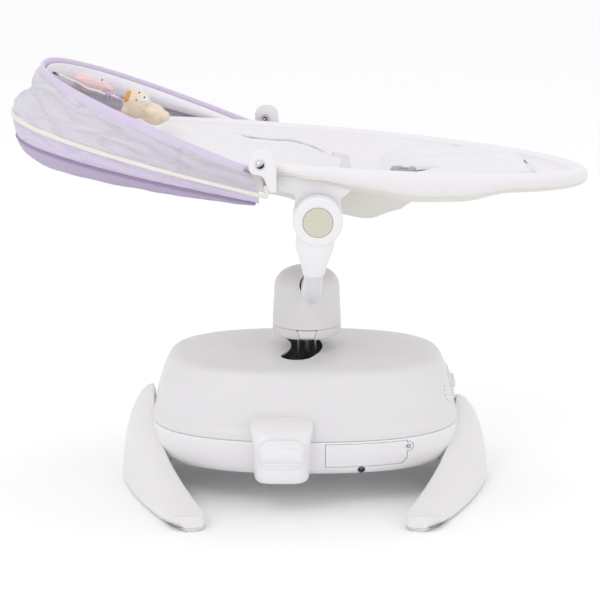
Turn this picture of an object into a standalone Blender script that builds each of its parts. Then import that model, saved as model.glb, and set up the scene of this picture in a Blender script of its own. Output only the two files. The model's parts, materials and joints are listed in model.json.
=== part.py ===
"""Electric baby swing: an oval powered base on two crescent legs, a swinging pillar with a fork,
a reclining hammock seat and a folding two-bow canopy. Metres, +Z up, +X towards the foot end,
origin on the floor under the middle of the swing."""

import math

import bmesh
import bpy
from mathutils import Matrix, Vector

# --------------------------------------------------------------------------------------
# Driving dimensions, in metres and degrees
# --------------------------------------------------------------------------------------
CLEARANCE = 0.0003  # between pieces that touch
RUNNING = 0.0004  # radial play of a shaft or a sliding piece
FLOOR_GAP = 0.0015  # the hard leg stays this far above the floor, on its rubber pads

# base housing
BASE_X = 0.008  # middle of the base along the swing
BASE_HALF_LENGTH = 0.2255
BASE_HALF_DEPTH = 0.158
BASE_BOTTOM_Z = 0.048
BASE_HEIGHT = 0.1525
BASE_SEAM_Z = 0.100
BASE_WALL = 0.0025
BASE_EXPONENT = 2.5  # of the superellipse that the base is in plan
# share of the base's height, and how far the side stands in from the full outline there
BASE_RINGS = ((0.0, 0.016), (0.07, 0.006), (0.28, 0.0), (0.41, 0.002), (0.61, 0.007),
              (0.77, 0.016), (0.87, 0.022), (0.95, 0.032), (0.985, 0.052), (1.0, 0.095))
RING_POINTS = 36

# swing axis, its slot and the drive
PIVOT_X = -0.117
SWING_RADIUS = 0.127  # from the pivot to the pillar's middle
SLOT_WIDTH = 0.046
SLOT_HALF_ANGLE = 28.0
CHASSIS_Z = 0.118
CHASSIS_THICK = 0.003
CHASSIS_GAP = 0.012  # from the chassis plate to the inside of the housing
POST_RADIUS = 0.010
POST_HEIGHT = 0.040
HUB_RADIUS = 0.022
ARM_WIDTH = 0.040
ARM_THICK = 0.016
GEAR_MODULE = 0.0016
SECTOR_TEETH = 56  # of the full circle that the sector is cut from
PINION_TEETH = 14
SECTOR_HALF_ANGLE = 38.0
GEAR_THICK = 0.006
GEAR_BACKLASH = 0.0003
MOTOR_RADIUS = 0.018
STEM_WIDTH = 0.028
STEM_DEPTH = 0.024
STEM_WALL = 0.003

# pillar and fork
PILLAR_RADIUS = 0.050
PILLAR_TOP_RADIUS = 0.0475
PILLAR_BOTTOM_Z = 0.220
PILLAR_SEAM_Z = 0.235
PILLAR_TOP_Z = 0.3205
PILLAR_CROWN = 0.030  # height of the rounded top
PILLAR_WALL = 0.0035
LATCH_TOP_WIDTH = 0.028
LATCH_BOTTOM_WIDTH = 0.019
LATCH_TRAVEL = 0.002
FORK_RADIUS = 0.013
FORK_X = 0.0145
FORK_Z = 0.300
FORK_BEND = 0.115

# recline hinge
HINGE_X = 0.024
HINGE_Z = 0.428
BOOT_RADIUS = 0.034
BOOT_THICK = 0.0305
BOOT_BOTTOM_Z = 0.350
BUTTON_RADIUS = 0.020
BUTTON_THICK = 0.005
BUTTON_PROUD = 0.0015
BUTTON_TRAVEL = 0.003
PIN_RADIUS = 0.007
BRACKET_INSET = 0.011  # from the seat's edge in to the bracket's outer face
HINGE_SIDE_GAP = 0.0035  # between a bracket and the boot beside it
BRACKET_THICK = 0.008
BOSS_THICK = 0.022

# seat: an oval padded hammock on a ring of tube
SEAT_FOOT_LENGTH = 0.414
SEAT_HEAD_LENGTH = 0.375
SEAT_HALF_WIDTH = 0.199
SEAT_RIM_Z = 0.500  # top of the rim at x = 0
SEAT_SLOPE = 0.075  # how much the rim drops per metre towards the foot
SEAT_MIDDLE_X = 0.060  # where the bottom's radial lines meet
SEAT_TUBE_RADIUS = 0.006
SEAT_TUBE_INSET = 0.0125
RIM_SKIN = 0.005  # padding above the tube
RIM_WALL = 0.006  # padding outside the tube
# (x, height) of the inside of the seat, of its underside, and the drop of its hem
SEAT_INSIDE = ((-0.375, 0.518), (-0.20, 0.487), (-0.03, 0.452), (0.06, 0.424), (0.11, 0.426),
               (0.17, 0.452), (0.30, 0.462), (0.414, 0.459))
SEAT_UNDERSIDE = ((-0.375, 0.505), (-0.20, 0.470), (-0.03, 0.430), (0.03, 0.408), (0.10, 0.396),
                  (0.14, 0.408), (0.17, 0.430), (0.30, 0.449), (0.414, 0.446))
SEAT_HEM = ((-0.375, 0.028), (-0.12, 0.024), (-0.055, 0.016), (-0.02, 0.015), (0.02, 0.021),
            (0.085, 0.032), (0.16, 0.042), (0.22, 0.040), (0.30, 0.027), (0.414, 0.026))
SEAT_STATIONS = 32

# canopy, folded back over the head end
CANOPY_X = -0.0535  # pivot, in the chrome rivets
CANOPY_Z = 0.505
WIRE_RADIUS = 0.002
EYE_RADIUS = 0.006
RIVET_RADIUS = 0.0058
RIVET_SHANK = 0.0016
RIVET_END_GAP = 0.0008  # from the seat's edge to the shank's end
RIVET_ROOT = 0.001  # the shank runs this far into the head
TAB_THICK = 0.004
FRONT_WIRE_GAP = 0.0032  # from the seat's edge to the front bow's wire
EYE_STEP = 0.0044  # from the front bow's eye to the middle bow's
TAB_STEP = 0.0024  # from the middle bow's eye to the inside of the tab
MIDDLE_WIRE_STEP = 0.0070  # the middle bow passes this far outside the tab's inner face
FRONT_TIP = (-0.364, 0.615)
FRONT_HEEL = (-0.062, 0.4935)
MIDDLE_TIP = (-0.408, 0.550)
MIDDLE_HEEL = (-0.050, 0.463)
BOW_EXPONENT = 2.35
PANEL_TIP = (-0.403, 0.519)
PANEL_HEEL = (-0.050, 0.4505)
PANEL_INSET = 0.009
FOLD_TIP = (-0.362, 0.484)
FOLD_HEEL = (-0.056, 0.4465)
FOLD_INSET = 0.026
SKIN = 0.0016  # thickness of a fabric panel's solid

# legs: crescents in plan, highest where they climb the base
LEG_STAND_OUT = 0.0445  # outermost point of a leg past the base's end
LEG_HALF_SPAN = 0.250
LEG_TOP_Z = 0.146
LEG_FOOT_TOP_Z = 0.126  # the foot-end leg stops below the control panel
LEG_CURVE = (0.657, 1.434)  # inward run of the outer edge: factor and power of |y|
LEG_DROP = (0.2358, 0.441)  # fall of the top edge: factor and power of |y|
LEG_WIDTH = 0.050
PAD_LENGTH = 0.040
PAD_HEIGHT = 0.006

# what is set in the housing
BLOCK_X = -0.025
BLOCK_HALF_WIDTH = 0.0405
BLOCK_STAND_OUT = 0.037
# height, extra half-width and how far the block stands back from its front
BLOCK_SECTIONS = ((0.047, -0.006, 0.008), (0.053, 0.0, 0.001), (0.085, 0.0, 0.0), (0.110, 0.002, 0.0),
                  (0.122, 0.006, 0.010), (0.136, 0.012, 0.033))
RIDGED_PAD_WIDTH = 0.064
RIDGED_PAD_HEIGHT = 0.044
RIDGED_PAD_Z = 0.0925
RIDGED_PAD_THICK = 0.005
DOOR_X = (0.036, 0.152)
DOOR_Z = (0.0625, 0.0965)
DOOR_GAP = 0.0006
DOOR_SCREW = (0.1545, 0.0875)
DOOR_SCREW_RADIUS = 0.0028
DOOR_LOBE_RADIUS = 0.0065
JACK_X = 0.087
JACK_Z = 0.0565
JACK_RADIUS = 0.0052
PANEL_Z = 0.148
PANEL_HALF_WIDTH = 0.036
PANEL_HALF_HEIGHT = 0.020
PANEL_PROUD = 0.0018
KEY_RADIUS = 0.0048
KEY_PITCH = 0.014
KEY_TRAVEL = 0.0012
KEY_PROUD = 0.0014
KEY_LENGTH = 0.013
SPEAKER_RADIUS = 0.018
SPEAKER_PLACE = (0.175, -0.056, 0.144)

# soft toys on a strap from the tip of the front bow
TOY_HANG = (-0.350, 0.600)
TOY_SLOPE = 22.0
STRAP_WIDTH = 0.012
STRAP_LENGTH = 0.105


# worked out from the sizes above
BRACKET_OUTER_Y = SEAT_HALF_WIDTH - BRACKET_INSET
BOOT_OUTER_Y = BRACKET_OUTER_Y + HINGE_SIDE_GAP + BOOT_THICK
FRONT_WIRE_Y = SEAT_HALF_WIDTH + FRONT_WIRE_GAP
MIDDLE_EYE_Y = FRONT_WIRE_Y + EYE_STEP
TAB_INNER_Y = MIDDLE_EYE_Y + TAB_STEP
MIDDLE_WIRE_Y = TAB_INNER_Y + MIDDLE_WIRE_STEP
PANEL_Y = MIDDLE_WIRE_Y - PANEL_INSET
FOLD_Y = MIDDLE_WIRE_Y - FOLD_INSET
LEG_REACH = BASE_HALF_LENGTH + LEG_STAND_OUT
BLOCK_OUTER_Y = BASE_HALF_DEPTH + BLOCK_STAND_OUT

# --------------------------------------------------------------------------------------
# Scene, materials and modelling helpers
# --------------------------------------------------------------------------------------
for old in list(bpy.data.objects):
    bpy.data.objects.remove(old, do_unlink=True)

parts = bpy.data.collections.new("baby_swing")
cutters = bpy.data.collections.new("cutters")
bpy.context.scene.collection.children.link(parts)
bpy.context.scene.collection.children.link(cutters)


def material(name, color, roughness, metallic=0.0):
    made = bpy.data.materials.new(name)
    made.use_nodes = True
    shader = made.node_tree.nodes["Principled BSDF"]
    shader.inputs["Base Color"].default_value = (*color, 1.0)
    shader.inputs["Roughness"].default_value = roughness
    shader.inputs["Metallic"].default_value = metallic
    return made


WHITE = material("white_plastic", (0.83, 0.82, 0.82), 0.35)
GREY = material("pillar_plastic", (0.76, 0.75, 0.75), 0.4)
DARK = material("dark_plastic", (0.06, 0.06, 0.07), 0.5)
BEIGE = material("button_grey", (0.66, 0.65, 0.57), 0.6)
RUBBER = material("pad_rubber", (0.60, 0.60, 0.60), 0.8)
STEEL = material("steel", (0.55, 0.55, 0.56), 0.35, 1.0)
TUBE = material("painted_tube", (0.72, 0.73, 0.74), 0.3)
CHROME = material("chrome", (0.85, 0.85, 0.87), 0.08, 1.0)
NYLON = material("gear_nylon", (0.80, 0.78, 0.70), 0.5)
BOARD = material("circuit_green", (0.04, 0.22, 0.10), 0.5)
FABRIC = material("seat_fabric", (0.86, 0.84, 0.86), 0.9)
LAVENDER = material("canopy_lavender", (0.58, 0.50, 0.66), 0.9)
NET = material("canopy_net", (0.72, 0.68, 0.78), 0.9)
PLUSH = material("toy_plush", (0.95, 0.82, 0.62), 1.0)
PINK = material("toy_pink", (0.92, 0.70, 0.74), 1.0)


def keep(obj, name, finish):
    """Names a finished piece, gives it its material and puts it with the parts."""
    obj.name = name
    obj.data.name = name
    obj.data.materials.clear()
    obj.data.materials.append(finish)
    for owner in list(obj.users_collection):
        owner.objects.unlink(obj)
    parts.objects.link(obj)
    return obj


def helper(obj, name="cutter"):
    """Marks a shape that only cuts or joins another one."""
    obj.name = name
    obj.hide_render = True
    obj.display_type = "WIRE"
    for owner in list(obj.users_collection):
        owner.objects.unlink(obj)
    cutters.objects.link(obj)
    return obj


def mesh_object(bm, name="shape"):
    bmesh.ops.remove_doubles(bm, verts=bm.verts, dist=1e-7)
    bmesh.ops.recalc_face_normals(bm, faces=bm.faces)
    data = bpy.data.meshes.new(name)
    bm.to_mesh(data)
    bm.free()
    obj = bpy.data.objects.new(name, data)
    bpy.context.scene.collection.objects.link(obj)
    return obj


def box(low, high):
    bm = bmesh.new()
    bmesh.ops.create_cube(bm, size=1.0)
    size = Vector(high) - Vector(low)
    place = Matrix.Translation((Vector(low) + Vector(high)) / 2) @ Matrix.Diagonal((*size, 1.0))
    bmesh.ops.transform(bm, matrix=place, verts=bm.verts)
    return mesh_object(bm)


AXIS_TURN = {"X": Matrix.Rotation(math.pi / 2, 4, "Y"), "Y": Matrix.Rotation(-math.pi / 2, 4, "X"),
             "Z": Matrix.Identity(4)}


def cylinder(radius, start, length, axis="Z", segments=32, end_radius=None):
    """A cylinder or cone that runs for length from start along +axis."""
    bm = bmesh.new()
    far = radius if end_radius is None else end_radius
    bmesh.ops.create_cone(bm, cap_ends=True, segments=segments, radius1=radius, radius2=far, depth=length)
    bmesh.ops.translate(bm, vec=(0, 0, length / 2), verts=bm.verts)
    bmesh.ops.transform(bm, matrix=Matrix.Translation(start) @ AXIS_TURN[axis], verts=bm.verts)
    return mesh_object(bm)


def ball(radius, centre, stretch=(1, 1, 1), rings=8):
    bm = bmesh.new()
    bmesh.ops.create_uvsphere(bm, u_segments=rings * 2, v_segments=rings, radius=radius)
    place = Matrix.Translation(centre) @ Matrix.Diagonal((*stretch, 1.0))
    bmesh.ops.transform(bm, matrix=place, verts=bm.verts)
    return mesh_object(bm)


def loft(rings, cap_first=True, cap_last=True, cyclic=False):
    """Faces between rings that have the same number of points. A ring of one point is a pole."""
    bm = bmesh.new()
    made = [[bm.verts.new(point) for point in ring] for ring in rings]
    pairs = list(zip(made, made[1:]))
    if cyclic:
        pairs.append((made[-1], made[0]))
    for low, high in pairs:
        count = max(len(low), len(high))
        for i in range(count):
            j = (i + 1) % count
            corners = [low[i % len(low)], low[j % len(low)], high[j % len(high)], high[i % len(high)]]
            bm.faces.new(list(dict.fromkeys(corners)))
    if cap_first and not cyclic and len(made[0]) > 2:
        bm.faces.new(made[0])
    if cap_last and not cyclic and len(made[-1]) > 2:
        bm.faces.new(made[-1])
    return mesh_object(bm)


def prism(outline, axis, low, high):
    """A flat outline drawn out between low and high along an axis. It holds (x, z) points along Y, (y, z) along X."""
    curve = bpy.data.curves.new("outline", "CURVE")
    curve.dimensions = "2D"
    curve.fill_mode = "BOTH"
    curve.extrude = (high - low) / 2
    spline = curve.splines.new("POLY")
    spline.points.add(len(outline) - 1)
    for point, (u, v) in zip(spline.points, outline):
        point.co = (u, v, 0, 1)
    spline.use_cyclic_u = True
    obj = bpy.data.objects.new("outline", curve)
    bpy.context.scene.collection.objects.link(obj)
    middle = (high + low) / 2
    place = {
        "Z": Matrix.Translation((0, 0, middle)),
        "Y": Matrix.Translation((0, middle, 0)) @ Matrix.Rotation(math.pi / 2, 4, "X"),
        "X": Matrix.Translation((middle, 0, 0)) @ Matrix(((0, 0, 1, 0), (1, 0, 0, 0), (0, 1, 0, 0), (0, 0, 0, 1))),
    }
    obj.matrix_world = place[axis]
    return to_mesh(obj)


def tube(points, radius, sides=2, cyclic=False):
    """A round bar along points, as a mesh."""
    curve = bpy.data.curves.new("tube", "CURVE")
    curve.dimensions = "3D"
    curve.bevel_depth = radius
    curve.bevel_resolution = sides
    curve.use_fill_caps = True
    spline = curve.splines.new("POLY")
    spline.points.add(len(points) - 1)
    for point, place in zip(spline.points, points):
        point.co = (*place, 1)
    spline.use_cyclic_u = cyclic
    obj = bpy.data.objects.new("tube", curve)
    bpy.context.scene.collection.objects.link(obj)
    return to_mesh(obj)


def to_mesh(obj):
    """A mesh copy of an object as it is evaluated, welded and in world space. The object is removed."""
    bpy.context.view_layer.update()
    graph = bpy.context.evaluated_depsgraph_get()
    data = bpy.data.meshes.new_from_object(obj.evaluated_get(graph), depsgraph=graph)
    bm = bmesh.new()
    bm.from_mesh(data)
    bmesh.ops.transform(bm, matrix=obj.matrix_world, verts=bm.verts)
    bpy.data.meshes.remove(data)
    bpy.data.objects.remove(obj, do_unlink=True)
    return mesh_object(bm)


def boolean(obj, other, operation):
    """Cuts, joins or crosses two meshes, and gives the result as a plain mesh."""
    helper(other)
    modifier = obj.modifiers.new(operation.lower(), "BOOLEAN")
    modifier.operation = operation
    modifier.object = other
    made = to_mesh(obj)
    bpy.data.objects.remove(other, do_unlink=True)
    return made


def cut(obj, *others):
    for other in others:
        obj = boolean(obj, other, "DIFFERENCE")
    return obj


def join(obj, *others):
    for other in others:
        obj = boolean(obj, other, "UNION")
    return obj


def cross(obj, other):
    return boolean(obj, other, "INTERSECT")


def shell(obj, wall):
    """Gives an open surface a wall that grows inwards."""
    modifier = obj.modifiers.new("wall", "SOLIDIFY")
    modifier.thickness = wall
    modifier.offset = -1
    modifier.use_even_offset = True
    return to_mesh(obj)


def soften(obj, width, segments=2, angle=40):
    modifier = obj.modifiers.new("round", "BEVEL")
    modifier.width = width
    modifier.segments = segments
    modifier.limit_method = "ANGLE"
    modifier.angle_limit = math.radians(angle)
    modifier.use_clamp_overlap = True
    return to_mesh(obj)


def turned(profile, x, y, steps=28):
    """A profile of (radius, z), from the top down its outer side, turned round a vertical axis."""
    bm = bmesh.new()
    row = [bm.verts.new((radius, 0, z)) for radius, z in profile]
    for a, b in zip(row, row[1:] + row[:1]):
        bm.edges.new((a, b))
    data = bpy.data.meshes.new("profile")
    bm.to_mesh(data)
    bm.free()
    obj = bpy.data.objects.new("turned", data)
    bpy.context.scene.collection.objects.link(obj)
    modifier = obj.modifiers.new("turn", "SCREW")
    modifier.steps = steps
    modifier.render_steps = steps
    modifier.use_merge_vertices = True
    modifier.merge_threshold = 1e-5
    obj.location = (x, y, 0)
    return to_mesh(obj)


def read_off(table, at):
    """The value at a place in a table of (place, value), eased between its rows."""
    if at <= table[0][0]:
        return table[0][1]
    for (a, low), (b, high) in zip(table, table[1:]):
        if at <= b:
            t = (at - a) / (b - a)
            return low + (high - low) * (3 - 2 * t) * t * t
    return table[-1][1]


def rounded(corners, steps=4):
    """An outline of (u, v, radius) corners with each corner rounded by an arc."""
    made = []
    for i, (u, v, radius) in enumerate(corners):
        corner = Vector((u, v))
        before = Vector(corners[i - 1][:2]) - corner
        after = Vector(corners[(i + 1) % len(corners)][:2]) - corner
        if radius <= 0:
            made.append((u, v))
            continue
        half = before.angle(after) / 2
        reach = radius / math.tan(half)
        middle = corner + (before.normalized() + after.normalized()).normalized() * radius / math.sin(half)
        start = corner + before.normalized() * reach - middle
        end = corner + after.normalized() * reach - middle
        sweep = start.angle_signed(end)
        for k in range(steps + 1):
            turn = -sweep * k / steps
            c, s = math.cos(turn), math.sin(turn)
            made.append((middle.x + c * start.x - s * start.y, middle.y + s * start.x + c * start.y))
    return made


def power(value, exponent):
    return math.copysign(abs(value) ** exponent, value)


def superellipse(half_u, half_v, exponent, count, middle=(0, 0)):
    made = []
    for k in range(count):
        turn = 2 * math.pi * k / count
        made.append((middle[0] + half_u * power(math.cos(turn), 2 / exponent),
                     middle[1] + half_v * power(math.sin(turn), 2 / exponent)))
    return made


SIDES = (("near", -1), ("far", 1))


# --------------------------------------------------------------------------------------
# Base housing
# --------------------------------------------------------------------------------------
BASE_TOP_Z = BASE_BOTTOM_Z + BASE_HEIGHT


def base_inset(z):
    share = (z - BASE_BOTTOM_Z) / BASE_HEIGHT
    for (a, low), (b, high) in zip(BASE_RINGS, BASE_RINGS[1:]):
        if share <= b:
            return low + (high - low) * (share - a) / (b - a)
    return BASE_RINGS[-1][1]


def base_ring(z, grow=0.0, lift=0.0):
    inset = base_inset(z)
    plan = superellipse(BASE_HALF_LENGTH - inset + grow, BASE_HALF_DEPTH - inset + grow,
                        BASE_EXPONENT, RING_POINTS, (BASE_X, 0))
    return [(x, y, z + lift) for x, y in plan]


def base_heights(low, high):
    inner = [BASE_BOTTOM_Z + share * BASE_HEIGHT for share, _ in BASE_RINGS]
    return [low, *[z for z in inner if low + 1e-6 < z < high - 1e-6], high]


def base_body(grow):
    """The housing's outer form as one solid, larger all round by grow."""
    rings = []
    for z in base_heights(BASE_BOTTOM_Z, BASE_TOP_Z):
        lift = -grow if z <= BASE_BOTTOM_Z else grow if z >= BASE_TOP_Z - 1e-6 else 0.0
        rings.append(base_ring(z, grow, lift))
    return loft(rings)


def base_side_y(x, z):
    """How far the housing's side stands from the middle plane at (x, z)."""
    inset = base_inset(z)
    share = abs(x - BASE_X) / (BASE_HALF_LENGTH - inset)
    return (BASE_HALF_DEPTH - inset) * (1 - share ** BASE_EXPONENT) ** (1 / BASE_EXPONENT)


def slot_outline(grow=0.0):
    """The curved slot in the housing's top: an arc about the pivot with round ends."""
    half = SLOT_WIDTH / 2 + grow
    ends = math.radians(SLOT_HALF_ANGLE)
    made = []
    for radius, start, stop in ((SWING_RADIUS + half, -ends, ends), (SWING_RADIUS - half, ends, -ends)):
        for k in range(13):
            turn = start + (stop - start) * k / 12
            made.append((PIVOT_X + radius * math.cos(turn), radius * math.sin(turn)))
        middle = (PIVOT_X + SWING_RADIUS * math.cos(stop), SWING_RADIUS * math.sin(stop))
        first = stop if radius > SWING_RADIUS else stop + math.pi
        for k in range(1, 7):
            turn = first + math.pi * k / 7
            made.append((middle[0] + half * math.cos(turn), middle[1] + half * math.sin(turn)))
    return made


PANEL_X = BASE_X + BASE_HALF_LENGTH - base_inset(PANEL_Z)
KEYS = (("power_button", -1.5), ("speed_button", -0.5), ("music_button", 0.5), ("timer_button", 1.5))


def key_hole(share, radius, low, high):
    return cylinder(radius, (low, share * KEY_PITCH, PANEL_Z), high - low, "X", 14)


def door_outline(grow=0.0):
    """The battery door: a rectangle with a cut lower corner and a round lobe for its screw."""
    left, right = DOOR_X[0] - grow, DOOR_X[1] + grow
    low, high = DOOR_Z[0] - grow, DOOR_Z[1] + grow
    chamfer = 0.008
    x, z = DOOR_SCREW
    radius = DOOR_LOBE_RADIUS + grow
    lobe = []
    half = math.acos((right - x) / radius)
    for k in range(9):
        turn = -half + 2 * half * k / 8
        lobe.append((x + radius * math.cos(turn), z + radius * math.sin(turn)))
    return [(left, low), (right - chamfer, low), (right, low + chamfer), *lobe, (right, high), (left, high)]


upper = loft([base_ring(z) for z in base_heights(BASE_SEAM_Z + CLEARANCE, BASE_TOP_Z)], cap_first=False)
upper = shell(upper, BASE_WALL)
upper = cut(upper, prism(slot_outline(), "Z", BASE_TOP_Z - 0.03, BASE_TOP_Z + 0.01))
for _, share in KEYS:
    upper = cut(upper, key_hole(share, KEY_RADIUS + RUNNING, PANEL_X - 0.02, PANEL_X + 0.01))
keep(upper, "base_upper_shell", WHITE)

lower = loft([base_ring(z) for z in base_heights(BASE_BOTTOM_Z, BASE_SEAM_Z)], cap_last=False)
lower = shell(lower, BASE_WALL)
lower = cut(lower, prism(door_outline(DOOR_GAP), "Y", -BASE_HALF_DEPTH - 0.01, -0.09),
            cylinder(JACK_RADIUS + CLEARANCE, (JACK_X, -BASE_HALF_DEPTH - 0.01, JACK_Z), 0.04, "Y", 20))
keep(lower, "base_lower_shell", WHITE)

# battery door, its screw and the tray behind it
door = cross(prism(door_outline(), "Y", -BASE_HALF_DEPTH - 0.01, -0.09), base_body(0))
door = cut(door, base_body(-BASE_WALL),
           cylinder(DOOR_SCREW_RADIUS + CLEARANCE,
                    (DOOR_SCREW[0], -BASE_HALF_DEPTH, DOOR_SCREW[1]), 0.08, "Y", 16))
keep(door, "battery_door", WHITE)
SCREW_Y = -base_side_y(*DOOR_SCREW)
keep(cylinder(DOOR_SCREW_RADIUS, (DOOR_SCREW[0], SCREW_Y + 0.0005, DOOR_SCREW[1]), 0.009, "Y", 16),
     "door_screw", STEEL)

TRAY_BACK_Y = -0.106
TRAY_WALL = 0.002
tray_front = -base_side_y(DOOR_X[1], DOOR_Z[0]) + 2 * BASE_WALL
tray = box((DOOR_X[0], tray_front, DOOR_Z[0]), (DOOR_X[1] - 0.004, TRAY_BACK_Y, DOOR_Z[1]))
tray = cut(tray, box((DOOR_X[0] + TRAY_WALL, tray_front - 0.01, DOOR_Z[0] + TRAY_WALL),
                     (DOOR_X[1] - 0.004 - TRAY_WALL, TRAY_BACK_Y - TRAY_WALL, DOOR_Z[1] - TRAY_WALL)))
keep(tray, "battery_tray", DARK)

# power socket
jack_front = -base_side_y(JACK_X, JACK_Z) + 0.0012
jack = cylinder(JACK_RADIUS, (JACK_X, jack_front, JACK_Z), 0.014, "Y", 20)
jack = cut(jack, cylinder(JACK_RADIUS * 0.6, (JACK_X, jack_front - 0.002, JACK_Z), 0.012, "Y", 16))
jack = join(jack, cylinder(JACK_RADIUS * 0.2, (JACK_X, jack_front + 0.001, JACK_Z), 0.012, "Y", 10))
keep(jack, "dc_jack", DARK)

# control panel at the foot end, with its keys, circuit board and speaker
panel = prism([(y, z + PANEL_Z) for y, z in superellipse(PANEL_HALF_WIDTH, PANEL_HALF_HEIGHT, 3, 28)],
              "X", PANEL_X - 0.03, PANEL_X + 0.02)
panel = cut(cross(panel, base_body(PANEL_PROUD)), base_body(CLEARANCE))
for _, share in KEYS:
    panel = cut(panel, key_hole(share, KEY_RADIUS + RUNNING, PANEL_X - 0.03, PANEL_X + 0.02))
keep(panel, "control_panel", GREY)
for name, share in KEYS:
    key_face = BASE_X + (BASE_HALF_LENGTH - base_inset(PANEL_Z)) + PANEL_PROUD + KEY_PROUD
    keep(key_hole(share, KEY_RADIUS, key_face - KEY_LENGTH, key_face), name, WHITE)
BOARD_X = PANEL_X + PANEL_PROUD + KEY_PROUD - KEY_LENGTH - KEY_TRAVEL - 2 * CLEARANCE
keep(box((BOARD_X - 0.0016, -0.030, PANEL_Z - 0.015), (BOARD_X, 0.030, PANEL_Z + 0.010)),
     "circuit_board", BOARD)
speaker = cylinder(SPEAKER_RADIUS * 0.55, SPEAKER_PLACE, 0.014, "X", 24, SPEAKER_RADIUS)
keep(speaker, "speaker", DARK)

# side blocks with their ridged pads
for side, sign in SIDES:
    rings = []
    for z, wider, back in BLOCK_SECTIONS:
        front = BLOCK_OUTER_Y - back
        rings.append([(x, sign * y, z) for x, y in superellipse(
            BLOCK_HALF_WIDTH + wider, (front - 0.10) / 2, 5, 28, (BLOCK_X, (front + 0.10) / 2))])
    keep(cut(loft(rings), base_body(CLEARANCE)), f"side_block_{side}", WHITE)
    corner = 0.012
    half_w, half_h = RIDGED_PAD_WIDTH / 2, RIDGED_PAD_HEIGHT / 2
    outline = rounded([(BLOCK_X - half_w, RIDGED_PAD_Z - half_h, corner),
                       (BLOCK_X + half_w, RIDGED_PAD_Z - half_h, corner),
                       (BLOCK_X + half_w, RIDGED_PAD_Z + half_h, corner),
                       (BLOCK_X - half_w, RIDGED_PAD_Z + half_h, corner)])
    faces = sorted((sign * (BLOCK_OUTER_Y + CLEARANCE), sign * (BLOCK_OUTER_Y + CLEARANCE + RIDGED_PAD_THICK)))
    keep(soften(prism(outline, "Y", *faces), 0.0015, 2), f"side_pad_{side}", WHITE)


# --------------------------------------------------------------------------------------
# Crescent legs and their rubber pads
# --------------------------------------------------------------------------------------
def leg_ring(y, sign):
    """The leg's cross-section at y, seen along Y: an upright inner side and a bulging outer side."""
    span = abs(y)
    outer = LEG_REACH - LEG_CURVE[0] * span ** LEG_CURVE[1]
    top = min(LEG_TOP_Z - LEG_DROP[0] * span ** LEG_DROP[1], LEG_TOP_Z if sign < 0 else LEG_FOOT_TOP_Z)
    nose = max(0.0, (span - (LEG_HALF_SPAN - PAD_LENGTH)) / PAD_LENGTH)
    width = LEG_WIDTH * (1 - 0.55 * nose ** 3)
    outer -= LEG_WIDTH * 0.25 * nose ** 3
    top *= 1 - 0.45 * nose ** 3
    inner = outer - width
    row = [(inner - 0.003, FLOOR_GAP), (inner - 0.001, top * 0.9)]
    for k in range(8):
        turn = math.pi / 2 * k / 7.3
        row.append((inner + 0.003 + (width - 0.003) * math.sin(turn) ** 1.05,
                    FLOOR_GAP + (top - FLOOR_GAP) * math.cos(turn) ** 1.05))
    row.append((outer - 0.003, FLOOR_GAP))
    return [(BASE_X + sign * x, y, z) for x, z in row]


LEG_SHARES = (0.0, 0.03, 0.08, 0.16, 0.27, 0.40, 0.55, 0.70, 0.84, 0.91, 0.96, 1.0)


def leg_body(sign):
    half = [LEG_HALF_SPAN * share for share in LEG_SHARES]
    return loft([leg_ring(y, sign) for y in [-y for y in reversed(half[1:])] + half])


for end, sign in (("head", -1), ("foot", 1)):
    leg = cut(leg_body(sign), base_body(CLEARANCE))
    for side, way in SIDES:
        near, far = sorted((way * (LEG_HALF_SPAN - PAD_LENGTH), way * (LEG_HALF_SPAN + 0.01)))
        block = box((BASE_X - 0.4, near, -0.01), (BASE_X + 0.4, far, PAD_HEIGHT))
        pad = cross(leg_body(sign), block)
        for vertex in pad.data.vertices:
            if vertex.co.z < FLOOR_GAP + 1e-5:
                vertex.co.z = 0.0
        keep(pad, f"leg_pad_{end}_{side}", RUBBER)
        near, far = sorted((way * (LEG_HALF_SPAN - PAD_LENGTH - CLEARANCE), way * (LEG_HALF_SPAN + 0.01)))
        leg = cut(leg, box((BASE_X - 0.4, near, -0.01), (BASE_X + 0.4, far, PAD_HEIGHT + CLEARANCE)))
    keep(leg, f"leg_{end}_end", WHITE)


# --------------------------------------------------------------------------------------
# Drive: chassis, post, gears and motor
# --------------------------------------------------------------------------------------
SECTOR_PITCH = GEAR_MODULE * SECTOR_TEETH / 2
PINION_PITCH = GEAR_MODULE * PINION_TEETH / 2
PINION_X = PIVOT_X - SECTOR_PITCH - PINION_PITCH
CHASSIS_TOP = CHASSIS_Z + CHASSIS_THICK
GEAR_Z = CHASSIS_TOP + 0.0025
HUB_Z = GEAR_Z + GEAR_THICK + CLEARANCE
SHAFT_RADIUS = 0.003


def gear_outline(teeth, phase, backlash, first=0, last=None):
    """Involute teeth of 20 degrees with shortened tips. phase is the angle of a tooth's middle."""
    pitch = GEAR_MODULE * teeth / 2
    base = pitch * math.cos(math.radians(20))
    tip = pitch + 0.85 * GEAR_MODULE
    root = pitch - 1.1 * GEAR_MODULE

    def involute(radius):
        turn = math.acos(min(1.0, base / radius))
        return math.tan(turn) - turn

    half = math.pi / (2 * teeth) - backlash / (2 * pitch) + involute(pitch)
    start = max(base, root)
    flank = [start + (tip - start) * k / 3 for k in range(4)]
    made = []
    for tooth in range(first, teeth if last is None else last):
        middle = phase + 2 * math.pi * tooth / teeth
        rows = [(root, -half)] + [(r, -half + involute(r)) for r in flank]
        rows += [(r, half - involute(r)) for r in reversed(flank)] + [(root, half)]
        made += [(r * math.cos(middle + turn), r * math.sin(middle + turn)) for r, turn in rows]
    return made


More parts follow.
